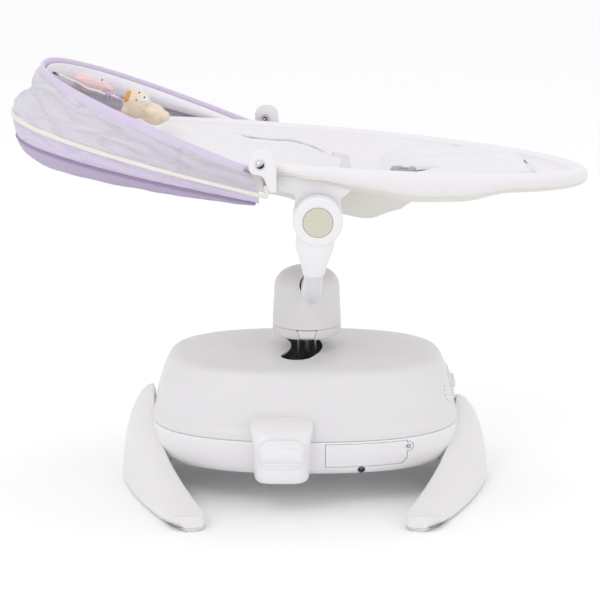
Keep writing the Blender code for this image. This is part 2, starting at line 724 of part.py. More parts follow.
chassis_plan = superellipse(BASE_HALF_LENGTH - BASE_WALL - CHASSIS_GAP, BASE_HALF_DEPTH - BASE_WALL - CHASSIS_GAP,
                            BASE_EXPONENT, RING_POINTS, (BASE_X, 0))
chassis = prism(chassis_plan, "Z", CHASSIS_Z, CHASSIS_TOP)
chassis = cut(chassis, cylinder(SHAFT_RADIUS + 0.002, (PINION_X, 0, CHASSIS_Z - 0.01), 0.03, "Z", 16),
              box((BOARD_X - 0.012, -0.05, CHASSIS_Z - 0.01), (BOARD_X + 0.03, 0.05, CHASSIS_Z + 0.02)))
keep(chassis, "chassis_plate", DARK)
post = join(cylinder(POST_RADIUS * 1.8, (PIVOT_X, 0, CHASSIS_TOP + CLEARANCE), 0.002, "Z", 32),
            cylinder(POST_RADIUS, (PIVOT_X, 0, CHASSIS_TOP + CLEARANCE + 0.001), POST_HEIGHT, "Z", 32))
keep(post, "pivot_post", STEEL)

motor = join(cylinder(MOTOR_RADIUS, (PINION_X, 0, BASE_BOTTOM_Z + BASE_WALL + 0.004),
                      CHASSIS_Z - BASE_BOTTOM_Z - BASE_WALL - 0.010, "Z", 28),
             box((PINION_X - 0.014, -0.022, CHASSIS_Z - 0.016), (PINION_X + 0.022, 0.022, CHASSIS_Z - CLEARANCE)),
             cylinder(SHAFT_RADIUS, (PINION_X, 0, CHASSIS_Z - 0.008), GEAR_Z + GEAR_THICK + 0.008 - CHASSIS_Z, "Z", 16))
keep(motor, "gearmotor", DARK)

pinion = prism(gear_outline(PINION_TEETH, math.pi / PINION_TEETH, GEAR_BACKLASH), "Z",
               GEAR_Z + CLEARANCE, GEAR_Z + GEAR_THICK)
pinion.location = (PINION_X, 0, 0)
pinion = cut(to_mesh(pinion), cylinder(SHAFT_RADIUS + RUNNING, (PINION_X, 0, GEAR_Z - 0.01), 0.03, "Z", 16))
keep(pinion, "pinion", NYLON)

# the sector's teeth lie on -X, where a tooth of it stands between two of the pinion's
SECTOR_COUNT = 2 * int(math.radians(SECTOR_HALF_ANGLE) / (2 * math.pi / SECTOR_TEETH)) + 1
half_count = SECTOR_COUNT // 2
teeth = gear_outline(SECTOR_TEETH, math.pi, GEAR_BACKLASH, -half_count, half_count + 1)
sector = prism([(x, y) for x, y in teeth] + [(0.012, -0.018), (0.018, 0.0), (0.012, 0.018)],
               "Z", GEAR_Z, GEAR_Z + GEAR_THICK)
sector.location = (PIVOT_X, 0, 0)
sector = cut(to_mesh(sector), cylinder(POST_RADIUS + RUNNING, (PIVOT_X, 0, GEAR_Z - 0.01), 0.03, "Z", 32))
keep(sector, "sector_gear", NYLON)

PILLAR_X = PIVOT_X + SWING_RADIUS
ARM_TOP = HUB_Z + ARM_THICK
arm = join(cylinder(HUB_RADIUS, (PIVOT_X, 0, HUB_Z), ARM_THICK + 0.006, "Z", 36),
           box((PIVOT_X, -ARM_WIDTH / 2, HUB_Z), (PILLAR_X + 0.016, ARM_WIDTH / 2, ARM_TOP)))
arm = cut(arm, cylinder(POST_RADIUS + RUNNING, (PIVOT_X, 0, HUB_Z - 0.01), 0.05, "Z", 32))
keep(arm, "swing_arm", STEEL)

# stem: a channel of plate with a rod between its two sides
STEM_TOP = PILLAR_BOTTOM_Z - CLEARANCE
half = STEM_WIDTH / 2
channel = [(-half, ARM_TOP + CLEARANCE), (half, ARM_TOP + CLEARANCE), (half, STEM_TOP),
           (half - STEM_WALL, STEM_TOP), (half - STEM_WALL, ARM_TOP + CLEARANCE + STEM_WALL),
           (STEM_WALL - half, ARM_TOP + CLEARANCE + STEM_WALL), (STEM_WALL - half, STEM_TOP), (-half, STEM_TOP)]
keep(prism([(PILLAR_X + x, z) for x, z in channel], "Y", -STEM_DEPTH / 2, STEM_DEPTH / 2),
     "stem_channel", STEEL)
rod_start = ARM_TOP + 2 * CLEARANCE + STEM_WALL
keep(cylinder(0.004, (PILLAR_X, 0, rod_start), STEM_TOP - rod_start, "Z", 20), "stem_rod", STEEL)


# --------------------------------------------------------------------------------------
# Pillar, its latch and the fork
# --------------------------------------------------------------------------------------
def latch_outline(grow):
    top, low = LATCH_TOP_WIDTH / 2 + grow, LATCH_BOTTOM_WIDTH / 2 + grow
    return [(PILLAR_X - low, PILLAR_BOTTOM_Z - 0.002), (PILLAR_X + low, PILLAR_BOTTOM_Z - 0.002),
            (PILLAR_X + top, PILLAR_SEAM_Z - CLEARANCE), (PILLAR_X - top, PILLAR_SEAM_Z - CLEARANCE)]


ring_inner = PILLAR_RADIUS - PILLAR_WALL
ring_top = PILLAR_SEAM_Z - CLEARANCE
ring_profile = [(ring_inner, ring_top), (PILLAR_RADIUS, ring_top), (PILLAR_RADIUS, PILLAR_BOTTOM_Z + 0.001),
                (PILLAR_RADIUS - 0.001, PILLAR_BOTTOM_Z), (0.0, PILLAR_BOTTOM_Z),
                (0.0, PILLAR_BOTTOM_Z + PILLAR_WALL), (ring_inner, PILLAR_BOTTOM_Z + PILLAR_WALL)]
ring = turned(ring_profile, PILLAR_X, 0)
latch_depth = PILLAR_WALL + 3 * LATCH_TRAVEL
ring = cut(ring, prism(latch_outline(RUNNING), "Y", -PILLAR_RADIUS - 0.01, -PILLAR_RADIUS + latch_depth))
keep(ring, "pillar_ring", GREY)
latch = cross(prism(latch_outline(0), "Y", -PILLAR_RADIUS - 0.01, -PILLAR_RADIUS + latch_depth),
              cylinder(PILLAR_RADIUS, (PILLAR_X, 0, PILLAR_BOTTOM_Z + 0.0004),
                       PILLAR_SEAM_Z - PILLAR_BOTTOM_Z - 0.0010, "Z", 28))
latch = cut(latch, cylinder(ring_inner, (PILLAR_X, 0, PILLAR_BOTTOM_Z - 0.01), 0.05, "Z", 28))
keep(latch, "release_latch", GREY)

cover_profile = [(0.0, PILLAR_TOP_Z)]
for k in range(1, 6):
    turn = math.pi / 2 * k / 5
    cover_profile.append((PILLAR_TOP_RADIUS * math.sin(turn) ** 0.8,
                          PILLAR_TOP_Z - PILLAR_CROWN * (1 - math.cos(turn))))
cover_profile.append((PILLAR_RADIUS, PILLAR_SEAM_Z))
cover_profile.append((ring_inner, PILLAR_SEAM_Z))
for k in range(5, 0, -1):
    turn = math.pi / 2 * k / 5
    cover_profile.append(((PILLAR_TOP_RADIUS - PILLAR_WALL) * math.sin(turn) ** 0.8,
                          PILLAR_TOP_Z - PILLAR_WALL - PILLAR_CROWN * (1 - math.cos(turn))))
cover_profile.append((0.0, PILLAR_TOP_Z - PILLAR_WALL))
cover = turned(cover_profile, PILLAR_X, 0)
cover = cut(cover, cylinder(FORK_RADIUS + 0.0015, (FORK_X, -0.07, FORK_Z), 0.14, "Y", 24))
keep(cover, "pillar_cover", GREY)

FORK_END_Y = BOOT_OUTER_Y - BOOT_THICK / 2
FORK_BEND_START = FORK_END_Y - FORK_BEND
FORK_SWEEP = 78.0
FORK_SIDES = 3
FORK_STEPS = 8


def fork_half(sign):
    """Points of one side of the fork, from the pillar out and up into the boot."""
    made = [(FORK_X, sign * FORK_BEND_START * share, FORK_Z) for share in (0.5, 1.0)]
    for k in range(1, FORK_STEPS + 1):
        turn = math.radians(FORK_SWEEP) * k / FORK_STEPS
        lean = (HINGE_X - 0.004 - FORK_X) * k / FORK_STEPS
        made.append((FORK_X + lean, sign * (FORK_BEND_START + FORK_BEND * math.sin(turn)),
                     FORK_Z + FORK_BEND * (1 - math.cos(turn))))
    return made


fork_line = [*reversed(fork_half(-1)), (FORK_X, 0, FORK_Z), *fork_half(1)]
keep(tube(fork_line, FORK_RADIUS, FORK_SIDES), "fork_tube", TUBE)


def boot_neck(sign):
    """The sleeve of the boot that follows the fork's bend."""
    line = [Vector(p) for p in fork_half(sign) if p[2] > BOOT_BOTTOM_Z - 0.004]
    line.append(Vector((HINGE_X, line[-1].y, HINGE_Z)))
    rings = []
    for k, point in enumerate(line):
        along = (line[min(k + 1, len(line) - 1)] - line[max(k - 1, 0)]).normalized()
        across = Vector((1, 0, 0))
        out = along.cross(across).normalized()
        share = k / (len(line) - 1)
        half_x, half_y = 0.0158 + 0.010 * share, 0.0152 - 0.001 * share
        rings.append([point + across * u + out * v for u, v in superellipse(half_x, half_y, 3, 16)])
    return loft(rings)


for side, sign in SIDES:
    outer, inner = sign * BOOT_OUTER_Y, sign * (BOOT_OUTER_Y - BOOT_THICK)
    head = cylinder(BOOT_RADIUS, (HINGE_X, min(outer, inner), HINGE_Z), BOOT_THICK, "Y", 32)
    boot = join(soften(head, 0.004, 2), boot_neck(sign))
    boot = cut(boot, tube(fork_line, FORK_RADIUS + CLEARANCE, FORK_SIDES))
    floor_y = sign * (BOOT_OUTER_Y - BUTTON_THICK - BUTTON_TRAVEL - 0.001)
    recess = sorted((outer + sign * 0.01, floor_y))
    boot = cut(boot, cylinder(BUTTON_RADIUS + RUNNING, (HINGE_X, recess[0], HINGE_Z),
                              recess[1] - recess[0], "Y", 28))
    boot = cut(boot, cylinder(PIN_RADIUS + RUNNING, (HINGE_X, min(floor_y, 0) - 0.001, HINGE_Z),
                              abs(floor_y) + 0.002, "Y", 16))
    keep(boot, f"boot_{side}", WHITE)
    faces = sorted((outer + sign * BUTTON_PROUD, outer + sign * (BUTTON_PROUD - BUTTON_THICK)))
    disc = cylinder(BUTTON_RADIUS, (HINGE_X, faces[0], HINGE_Z), BUTTON_THICK, "Y", 28)
    keep(soften(disc, 0.0008, 1), f"recline_button_{side}", BEIGE)
    ends = sorted((sign * (BRACKET_OUTER_Y - BOSS_THICK + 0.002), floor_y - sign * 0.0005))
    keep(cylinder(PIN_RADIUS, (HINGE_X, ends[0], HINGE_Z), ends[1] - ends[0], "Y", 16),
         f"hinge_pin_{side}", STEEL)


# --------------------------------------------------------------------------------------
# Seat
# --------------------------------------------------------------------------------------
def rim_point(turn, inset=0.0):
    """A point of the seat's outline in plan, moved inwards square to the outline, and the rim's height there."""
    def on_line(at):
        length = SEAT_FOOT_LENGTH if math.cos(at) > 0 else SEAT_HEAD_LENGTH
        exponent = 1.95 if math.cos(at) > 0 else 2.2
        return Vector((length * power(math.cos(at), 2 / exponent),
                       SEAT_HALF_WIDTH * power(math.sin(at), 2 / exponent), 0))
    step = 0.02
    ahead, behind = on_line(turn + step), on_line(turn - step)
    along = (ahead - behind).normalized()
    point = on_line(turn) + Vector((-along.y, along.x, 0)) * inset
    return point, SEAT_RIM_Z - SEAT_SLOPE * on_line(turn).x


RIM_STEP = RIM_SKIN + CLEARANCE + SEAT_TUBE_RADIUS
CHANNEL_INNER = SEAT_TUBE_INSET + SEAT_TUBE_RADIUS + 0.002


def seat_column(turn):
    """The seat's cross-section along one radial line, from the middle of its inside round to its underside."""
    start, rim = rim_point(turn)
    middle = Vector((SEAT_MIDDLE_X, 0, 0))
    inner_edge = rim_point(turn, 0.030)[0]
    shares = (0.28, 0.52, 0.74, 0.90)
    column = []
    for share in shares:
        spot = middle.lerp(inner_edge, share)
        bottom = read_off(SEAT_INSIDE, spot.x)
        column.append((spot.x, spot.y, bottom + (rim - 0.008 - bottom) * share ** 2.6))
    hem = read_off(SEAT_HEM, start.x)
    ceiling = RIM_SKIN
    for inset, drop in ((0.030, 0.006), (0.022, 0.0015), (0.012, 0.0), (0.004, 0.0022), (0.0, 0.008),
                        (0.0004, hem * 0.72), (0.002, hem), (RIM_WALL, hem), (RIM_WALL, ceiling),
                        (CHANNEL_INNER, ceiling), (CHANNEL_INNER, 0.0165)):
        spot = rim_point(turn, inset)[0]
        column.append((spot.x, spot.y, rim - drop))
    for share in reversed(shares):
        spot = middle.lerp(inner_edge, share)
        bottom = read_off(SEAT_UNDERSIDE, spot.x)
        column.append((spot.x, spot.y, bottom + (rim - 0.0175 - bottom) * share ** 2.6))
    return column


turns = [2 * math.pi * k / SEAT_STATIONS for k in range(SEAT_STATIONS)]
columns = [seat_column(turn) for turn in turns]
rings = [[(SEAT_MIDDLE_X, 0, read_off(SEAT_INSIDE, SEAT_MIDDLE_X))]]
rings += [list(row) for row in zip(*columns)]
rings.append([(SEAT_MIDDLE_X, 0, read_off(SEAT_UNDERSIDE, SEAT_MIDDLE_X))])
keep(loft(rings), "seat_cover", FABRIC)

tube_line = []
for turn in turns:
    spot, rim = rim_point(turn, SEAT_TUBE_INSET)
    tube_line.append((spot.x, spot.y, rim - RIM_STEP))
keep(tube(tube_line, SEAT_TUBE_RADIUS - CLEARANCE, 1, cyclic=True), "seat_frame", TUBE)

rim_at = SEAT_RIM_Z - RIM_STEP
bracket_plan = [(-0.030, rim_at + 0.0015), (0.064, rim_at - 0.005), (0.069, 0.4615), (0.060, 0.455), (0.052, 0.440),
                (HINGE_X, HINGE_Z), (-0.004, 0.440), (-0.012, 0.4515), (-0.024, 0.460), (-0.030, 0.467)]
for side, sign in SIDES:
    faces = sorted((sign * BRACKET_OUTER_Y, sign * (BRACKET_OUTER_Y - BRACKET_THICK)))
    bracket = prism(bracket_plan, "Y", *faces)
    faces = sorted((sign * BRACKET_OUTER_Y, sign * (BRACKET_OUTER_Y - BOSS_THICK)))
    bracket = join(bracket, cylinder(BOOT_RADIUS, (HINGE_X, faces[0], HINGE_Z), BOSS_THICK, "Y", 28))
    bracket = cut(bracket, cylinder(PIN_RADIUS + CLEARANCE, (HINGE_X, faces[0] - 0.001, HINGE_Z),
                                    BOSS_THICK + 0.002, "Y", 16),
                  tube(tube_line, SEAT_TUBE_RADIUS, 1, cyclic=True))
    keep(bracket, f"bracket_{side}", WHITE)

# harness: a belt across the seat and the crotch buckle in front of it
BELT_THICK = 0.003
belt_rows = []
for turn, share in [(-math.pi / 2, s) for s in (0.82, 0.62, 0.42, 0.22)] + [(math.pi / 2, s) for s in
                                                                        (0.0, 0.22, 0.42, 0.62, 0.82)]:
    edge, rim = rim_point(turn, 0.030)
    spot = Vector((SEAT_MIDDLE_X, 0, 0)).lerp(Vector((SEAT_MIDDLE_X, edge.y, 0)), share)
    bottom = read_off(SEAT_INSIDE, spot.x)
    height = bottom + (rim - 0.008 - bottom) * share ** 2.6 + 0.008
    belt_rows.append([(spot.x - 0.012, spot.y, height), (spot.x + 0.012, spot.y, height),
                      (spot.x + 0.012, spot.y, height + BELT_THICK), (spot.x - 0.012, spot.y, height + BELT_THICK)])
keep(loft(belt_rows), "waist_belt", FABRIC)
BUCKLE_X = 0.150
buckle_z = read_off(SEAT_INSIDE, BUCKLE_X) + 0.006
buckle = prism(rounded([(BUCKLE_X - 0.020, -0.016, 0.006), (BUCKLE_X + 0.018, -0.016, 0.006),
                        (BUCKLE_X + 0.018, 0.016, 0.006), (BUCKLE_X - 0.020, 0.016, 0.006)]),
               "Z", buckle_z, buckle_z + 0.012)
keep(soften(buckle, 0.002, 1), "crotch_buckle", BEIGE)


# --------------------------------------------------------------------------------------
# Canopy
# --------------------------------------------------------------------------------------
def bow_point(turn, tip, heel, half_width):
    """A point of a bow: turn runs from -90 degrees at the near heel over 0 at the tip to 90 at the far heel."""
    run = power(math.cos(turn), 2 / BOW_EXPONENT)
    x = heel[0] + (tip[0] - heel[0]) * run
    z = heel[1] + (tip[1] - heel[1]) * run
    return Vector((x, half_width * power(math.sin(turn), 2 / BOW_EXPONENT), z))


def bow_line(tip, heel, half_width, count=22):
    made = []
    for k in range(count + 1):
        turn = math.pi * (k / count - 0.5)
        made.append(bow_point(turn, tip, heel, half_width))
    return made


def bow(tip, heel, half_width, eye_y):
    line = bow_line(tip, heel, half_width)
    if eye_y < half_width:
        corner = (heel[0] + 0.0055, heel[1] - 0.002)
        ends = [(CANOPY_X, eye_y, CANOPY_Z), (corner[0], eye_y, corner[1]),
                (corner[0] - 0.001, half_width - 0.002, corner[1])]
    else:
        ends = [(CANOPY_X, eye_y, CANOPY_Z)]
    near = [(x, -y, z) for x, y, z in ends]
    wire = tube([*near, *line, *reversed(ends)], WIRE_RADIUS, 1)
    for sign in (-1, 1):
        start = (CANOPY_X, sign * eye_y - WIRE_RADIUS, CANOPY_Z)
        wire = join(wire, cylinder(EYE_RADIUS, start, 2 * WIRE_RADIUS, "Y", 12))
        wire = cut(wire, cylinder(RIVET_SHANK + RUNNING, (start[0], start[1] - 0.004, start[2]),
                                  2 * WIRE_RADIUS + 0.008, "Y", 8))
    return wire


keep(bow(FRONT_TIP, FRONT_HEEL, FRONT_WIRE_Y, FRONT_WIRE_Y), "bow_front", STEEL)
keep(bow(MIDDLE_TIP, MIDDLE_HEEL, MIDDLE_WIRE_Y, MIDDLE_EYE_Y), "bow_middle", STEEL)

tab_plan = rounded([(-0.069, 0.5255, 0.017), (-0.035, 0.5255, 0.015), (-0.0315, 0.495, 0.010),
                    (-0.0315, 0.467, 0.002), (-0.041, 0.467, 0.002), (-0.050, 0.490, 0.010), (-0.069, 0.492, 0.015)], 5)
for side, sign in SIDES:
    faces = sorted((sign * TAB_INNER_Y, sign * (TAB_INNER_Y + TAB_THICK)))
    tab = prism(tab_plan, "Y", *faces)
    lug = sorted((sign * (BRACKET_OUTER_Y - 0.005), sign * (TAB_INNER_Y + 0.001)))
    tab = join(tab, box((-0.0395, lug[0], 0.4672), (-0.0318, lug[1], 0.4790)))
    tab = cut(tab, cylinder(RIVET_SHANK + CLEARANCE, (CANOPY_X, min(faces) - 0.001, CANOPY_Z), TAB_THICK + 0.002,
                            "Y", 12))
    keep(tab, f"canopy_tab_{side}", WHITE)
    head_y = sign * (TAB_INNER_Y + TAB_THICK + CLEARANCE)
    dome = ball(RIVET_RADIUS, (CANOPY_X, head_y, CANOPY_Z), (1, 0.5, 1), 6)
    inward = sorted((0.0, head_y))
    dome = cut(dome, box((CANOPY_X - 0.02, inward[0], CANOPY_Z - 0.02), (CANOPY_X + 0.02, inward[1], CANOPY_Z + 0.02)))
    shank = sorted((sign * (SEAT_HALF_WIDTH + RIVET_END_GAP), head_y + sign * RIVET_ROOT))
    pin = cylinder(RIVET_SHANK, (CANOPY_X, shank[0], CANOPY_Z), shank[1] - shank[0], "Y", 12)
    keep(join(dome, pin), f"rivet_{side}", CHROME)


def panel_between(upper, lower, bulge, name, finish, reach=87.0, count=24):
    """A fabric panel between two bows. upper and lower are (tip, heel, half-width)."""
    rows = []
    for k in range(count + 1):
        turn = math.radians(reach) * (2 * k / count - 1)
        high, low = bow_point(turn, *upper), bow_point(turn, *lower)
        side = bow_point(turn + 0.02, *upper) - bow_point(turn - 0.02, *upper)
        out = side.cross(high - low).normalized()
        if out.x * math.cos(turn) > 0:
            out = -out
        middle = (high + low) / 2 + out * bulge
        rows.append([high, middle, low, low - out * SKIN, middle - out * SKIN, high - out * SKIN])
    keep(loft(rows), name, finish)


def shifted(place, drop):
    return (place[0], place[1] + drop)


EDGE_GAP = WIRE_RADIUS + 0.0012
front_edge = (shifted(FRONT_TIP, -EDGE_GAP), shifted(FRONT_HEEL, -EDGE_GAP), FRONT_WIRE_Y)
panel_between(front_edge, (shifted(MIDDLE_TIP, EDGE_GAP), shifted(MIDDLE_HEEL, EDGE_GAP), MIDDLE_WIRE_Y),
              0.0, "canopy_net", NET)
panel_between((shifted(MIDDLE_TIP, -EDGE_GAP), shifted(MIDDLE_HEEL, -EDGE_GAP), MIDDLE_WIRE_Y),
              (PANEL_TIP, PANEL_HEEL, PANEL_Y), 0.0, "canopy_panel", LAVENDER)
panel_between((shifted(PANEL_TIP, -EDGE_GAP), shifted(PANEL_HEEL, -EDGE_GAP), PANEL_Y),
              (FOLD_TIP, FOLD_HEEL, FOLD_Y), 0.0, "canopy_fold", LAVENDER)


# --------------------------------------------------------------------------------------
# Soft toys on their strap, lying in the folded front bow
# --------------------------------------------------------------------------------------
down = math.radians(TOY_SLOPE)
toy_frame = Matrix.Translation((TOY_HANG[0], 0, TOY_HANG[1])) @ Matrix.Rotation(down, 4, "Y")


def toy_ball(radius, along, across, height, stretch=(1, 1, 1)):
    return ball(radius, (along, across, height), stretch, 5)


def place_toy(obj, name, finish):
    obj.data.transform(toy_frame)
    keep(obj, name, finish)


place_toy(box((0.002, -STRAP_WIDTH / 2, -0.0015), (STRAP_LENGTH, STRAP_WIDTH / 2, 0.0015)), "toy_strap", FABRIC)
place_toy(join(toy_ball(0.017, 0.045, 0.030, 0.0, (1.2, 1, 0.8)), toy_ball(0.012, 0.068, 0.030, 0.002),
               toy_ball(0.006, 0.076, 0.022, 0.006), toy_ball(0.006, 0.076, 0.038, 0.006)), "toy_rabbit", PINK)
bear_x = STRAP_LENGTH + 0.020
place_toy(join(toy_ball(0.019, bear_x, 0, 0.002, (1, 1, 0.9)), toy_ball(0.016, bear_x + 0.028, 0, -0.002, (1.2, 1, 0.85)),
               toy_ball(0.007, bear_x - 0.008, 0.016, 0.010), toy_ball(0.007, bear_x - 0.008, -0.016, 0.010)),
          "toy_bear", PLUSH)

for piece in parts.objects:
    piece.data.shade_smooth()
    piece.data.set_sharp_from_angle(angle=math.radians(35))
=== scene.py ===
"""Electric baby swing: the finished surfaces, soft goods and small fittings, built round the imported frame.

Each part of the swing has an operator, and the panel in the 3D view's sidebar lists them in building order."""

import json
from math import acos, atan2, copysign, cos, exp, hypot, log1p, pi, radians, sin, tan

import bmesh
import bpy
import numpy as np
from bpy.props import FloatProperty, FloatVectorProperty, IntProperty, PointerProperty
from mathutils import Matrix, Vector, noise


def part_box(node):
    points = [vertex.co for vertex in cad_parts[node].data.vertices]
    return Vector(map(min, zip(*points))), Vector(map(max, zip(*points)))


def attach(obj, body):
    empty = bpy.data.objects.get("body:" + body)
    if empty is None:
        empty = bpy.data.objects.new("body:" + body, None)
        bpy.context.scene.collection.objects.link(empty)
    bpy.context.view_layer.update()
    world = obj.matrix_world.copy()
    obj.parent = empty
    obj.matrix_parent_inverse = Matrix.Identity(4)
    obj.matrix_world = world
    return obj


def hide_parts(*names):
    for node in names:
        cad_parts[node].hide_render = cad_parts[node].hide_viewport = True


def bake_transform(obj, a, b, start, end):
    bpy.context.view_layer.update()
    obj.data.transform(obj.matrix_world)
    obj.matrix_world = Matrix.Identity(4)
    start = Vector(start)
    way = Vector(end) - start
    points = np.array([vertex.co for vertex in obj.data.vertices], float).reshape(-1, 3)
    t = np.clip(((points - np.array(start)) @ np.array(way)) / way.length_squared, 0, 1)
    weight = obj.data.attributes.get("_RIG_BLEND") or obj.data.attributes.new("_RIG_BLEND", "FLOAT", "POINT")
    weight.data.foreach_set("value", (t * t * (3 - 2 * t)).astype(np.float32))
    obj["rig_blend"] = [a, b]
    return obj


bl_info = {
    "name": "Electric Baby Swing",
    "version": (1, 0, 0),
    "blender": (4, 5, 0),
    "location": "View3D > Sidebar > Baby Swing",
    "description": "Builds the shells, soft goods and fittings of an electric baby swing",
    "category": "Object",
}

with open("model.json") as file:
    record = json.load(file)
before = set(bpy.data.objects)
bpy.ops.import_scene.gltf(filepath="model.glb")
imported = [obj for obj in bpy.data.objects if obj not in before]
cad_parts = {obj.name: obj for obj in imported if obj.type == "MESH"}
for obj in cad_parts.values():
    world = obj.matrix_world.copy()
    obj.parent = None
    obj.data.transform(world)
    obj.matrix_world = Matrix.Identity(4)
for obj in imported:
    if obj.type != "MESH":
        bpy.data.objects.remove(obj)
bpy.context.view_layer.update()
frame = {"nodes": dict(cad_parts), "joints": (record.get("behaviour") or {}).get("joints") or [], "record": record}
SIDES = (("near", -1), ("far", 1))


def srgb(*display):
    """A display colour, 0 to 255, as the linear colour that a shader takes."""
    shares = (value / 255 for value in display)
    return tuple(share / 12.92 if share <= 0.04045 else ((share + 0.055) / 1.055) ** 2.4 for share in shares)


def middle_of(node):
    low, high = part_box(node)
    return (low + high) / 2


def farthest(node):
    """How far a node reaches out from the swing's middle plane, to either side."""
    low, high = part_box(node)
    return max(abs(low.y), abs(high.y))


def colour(name, description, *display):
    return FloatVectorProperty(name=name, description=description, subtype="COLOR", size=3, min=0, max=1,
                               default=srgb(*display))


def length(name, description, default):
    return FloatProperty(name=name, description=description, default=default, unit="LENGTH", precision=5)


# Sizes and colours that a user would change
class SwingColours(bpy.types.PropertyGroup):
    shell: colour("Shells", "Legs, keys and other shells", 228, 226, 226)
    # painted shade: the upper shell's tone is a darker copy of the shell plastic, for the shade on the domed top
    upper: colour("Upper shell", "Domed top of the base", 222, 220, 222)
    trim: colour("Trim", "Boots, brackets and canopy tabs", 230, 228, 231)
    pillar: colour("Pillar", "Pillar cover, its ring and latch", 221, 218, 219)
    tube: colour("Fork tube", "Powder coat of the fork", 214, 216, 220)
    disc: colour("Recline disc", "Speckled press disc on the hinge", 207, 205, 188)
    pad: colour("Foot pads", "Rubber under the legs", 219, 217, 216)
    dark: colour("Dark plastic", "Inner parts and the socket", 92, 84, 100)
    seat: colour("Seat cloth", "Cover of the hammock and its rim", 231, 228, 233)
    # painted shade: a darker beige-grey for the shade on the hammock's downward faces
    underside_shade: colour("Belly cloth", "Underside of the hammock", 222, 219, 213)
    liner: colour("Seat liner", "Padded liner inside the hammock", 226, 224, 227)
    webbing: colour("Webbing", "Belts and toy strap", 226, 224, 226)
    canopy: colour("Canopy cloth", "Lilac cloth of the canopy", 212, 201, 225)
    # painted shade: the fold's lilac is a darker copy of the canopy's, for the shade under the panel
    fold: colour("Folded cloth", "Darker lilac cloth of the lower fold", 190, 175, 207)
    net: colour("Canopy net", "Sheer net between the two bows", 231, 227, 240)
    piping: colour("Piping", "Cream edge over the middle bow", 232, 230, 222)
    bear: colour("Bear", "Plush of the bear", 253, 232, 205)
    rabbit: colour("Rabbit", "Plush of the rabbit", 248, 216, 219)
    felt: colour("Felt bow", "Small felt bow at the bear's neck", 246, 172, 34)


class SwingSizes(bpy.types.PropertyGroup):
    shell_wall: length("Shell wall", "Wall of the moulded shells", 0.0025)
    seam: length("Seam", "Gap between two shells", 0.0004)
    weave: length("Weave pitch", "Distance between two threads of the cloth", 0.0011)
    stitch_pitch: length("Stitch pitch", "Distance from one stitch to the next", 0.0042)
    stitch_length: length("Stitch length", "Visible length of one stitch", 0.0028)
    thread: length("Thread", "Thickness of the sewing thread", 0.0005)
    piping: length("Piping", "Radius of the piping over the middle bow", 0.0029)
    crumple: length("Crumple", "Depth of the folds in the net", 0.0052)
    liner_loft: length("Liner loft", "Thickness that the seat liner starts with", 0.0068)
    liner_rise: length("Liner rise", "Most that the liner swells when it is filled", 0.0045)
    perforation: length("Perforation", "Radius of a speaker hole", 0.0014)
    perforations: IntProperty(name="Perforations", description="Speaker holes in the arc", default=5, min=1, max=20)
    hang_wrinkle: length("Cloth wrinkle", "Depth of the soft wrinkles in the seat cloth", 0.0009)


def colours():
    return bpy.context.scene.swing_colours


def sizes():
    return bpy.context.scene.swing_sizes


# Mesh helpers
def placed(name, data):
    """A new object in the scene."""
    made = bpy.data.objects.new(name, data)
    bpy.context.scene.collection.objects.link(made)
    return made


def shown(name, bm):
    """A bmesh as an object in the scene."""
    data = bpy.data.meshes.new(name)
    bm.to_mesh(data)
    bm.free()
    return placed(name, data)


def piece_from(bm, name):
    """A cleaned bmesh, its faces turned outwards, as an object in the scene."""
    bmesh.ops.remove_doubles(bm, verts=bm.verts, dist=1e-6)
    bmesh.ops.dissolve_degenerate(bm, edges=bm.edges, dist=1e-7)
    bmesh.ops.recalc_face_normals(bm, faces=bm.faces)
    return shown(name, bm)


def full_turn(count):
    return [2 * pi * k / count for k in range(count)]


def run_lengths(points, closed):
    """The distance along a line of points up to each one, and round to the first again if it is closed."""
    ahead = [*points[1:], points[0]] if closed else points[1:]
    made = [0.0]
    for here, there in zip(points, ahead):
        made.append(made[-1] + (Vector(there) - Vector(here)).length)
    return made


def loft(name, rings, ring_closed=True, path_closed=False, caps=True, marks=None):
    """Skin over rings of equally many points, with a UV map in metres. marks gives a value for each ring,
    stored on its points as the attribute 'across'."""
    bm = bmesh.new()
    uv = bm.loops.layers.uv.new("cloth")
    across = bm.verts.layers.float.new("across") if marks is not None else None
    made = [[bm.verts.new(point) for point in ring] for ring in rings]
    if across is not None:
        for ring, mark in zip(made, marks):
            values = mark if hasattr(mark, "__len__") else [mark] * len(ring)
            for vertex, value in zip(ring, values):
                vertex[across] = value
    count = len(rings[0])
    widest = max(rings, key=lambda ring: run_lengths(ring, ring_closed)[-1])
    u_at = run_lengths(widest, ring_closed)
    spine = [ring[0] for ring in rings]
    other = [ring[count // 2] for ring in rings]
    v_at = [(a + b) / 2 for a, b in zip(run_lengths(spine, path_closed), run_lengths(other, path_closed))]
    pairs = list(zip(range(len(rings)), range(1, len(rings))))
    if path_closed:
        pairs.append((len(rings) - 1, 0))
    steps = range(count if ring_closed else count - 1)
    for step, (a, b) in enumerate(pairs):
        for i in steps:
            j = (i + 1) % count
            face = bm.faces.new((made[a][i], made[a][j], made[b][j], made[b][i]))
            corners = ((u_at[i], v_at[step]), (u_at[i + 1], v_at[step]),
                       (u_at[i + 1], v_at[step + 1]), (u_at[i], v_at[step + 1]))
            for loop, place in zip(face.loops, corners):
                loop[uv].uv = place
    if caps and ring_closed and not path_closed:
        for ring in (made[0], made[-1]):
            face = bm.faces.new(ring)
            for loop in face.loops:
                loop[uv].uv = (loop.vert.co.x, loop.vert.co.y)
    return piece_from(bm, name)


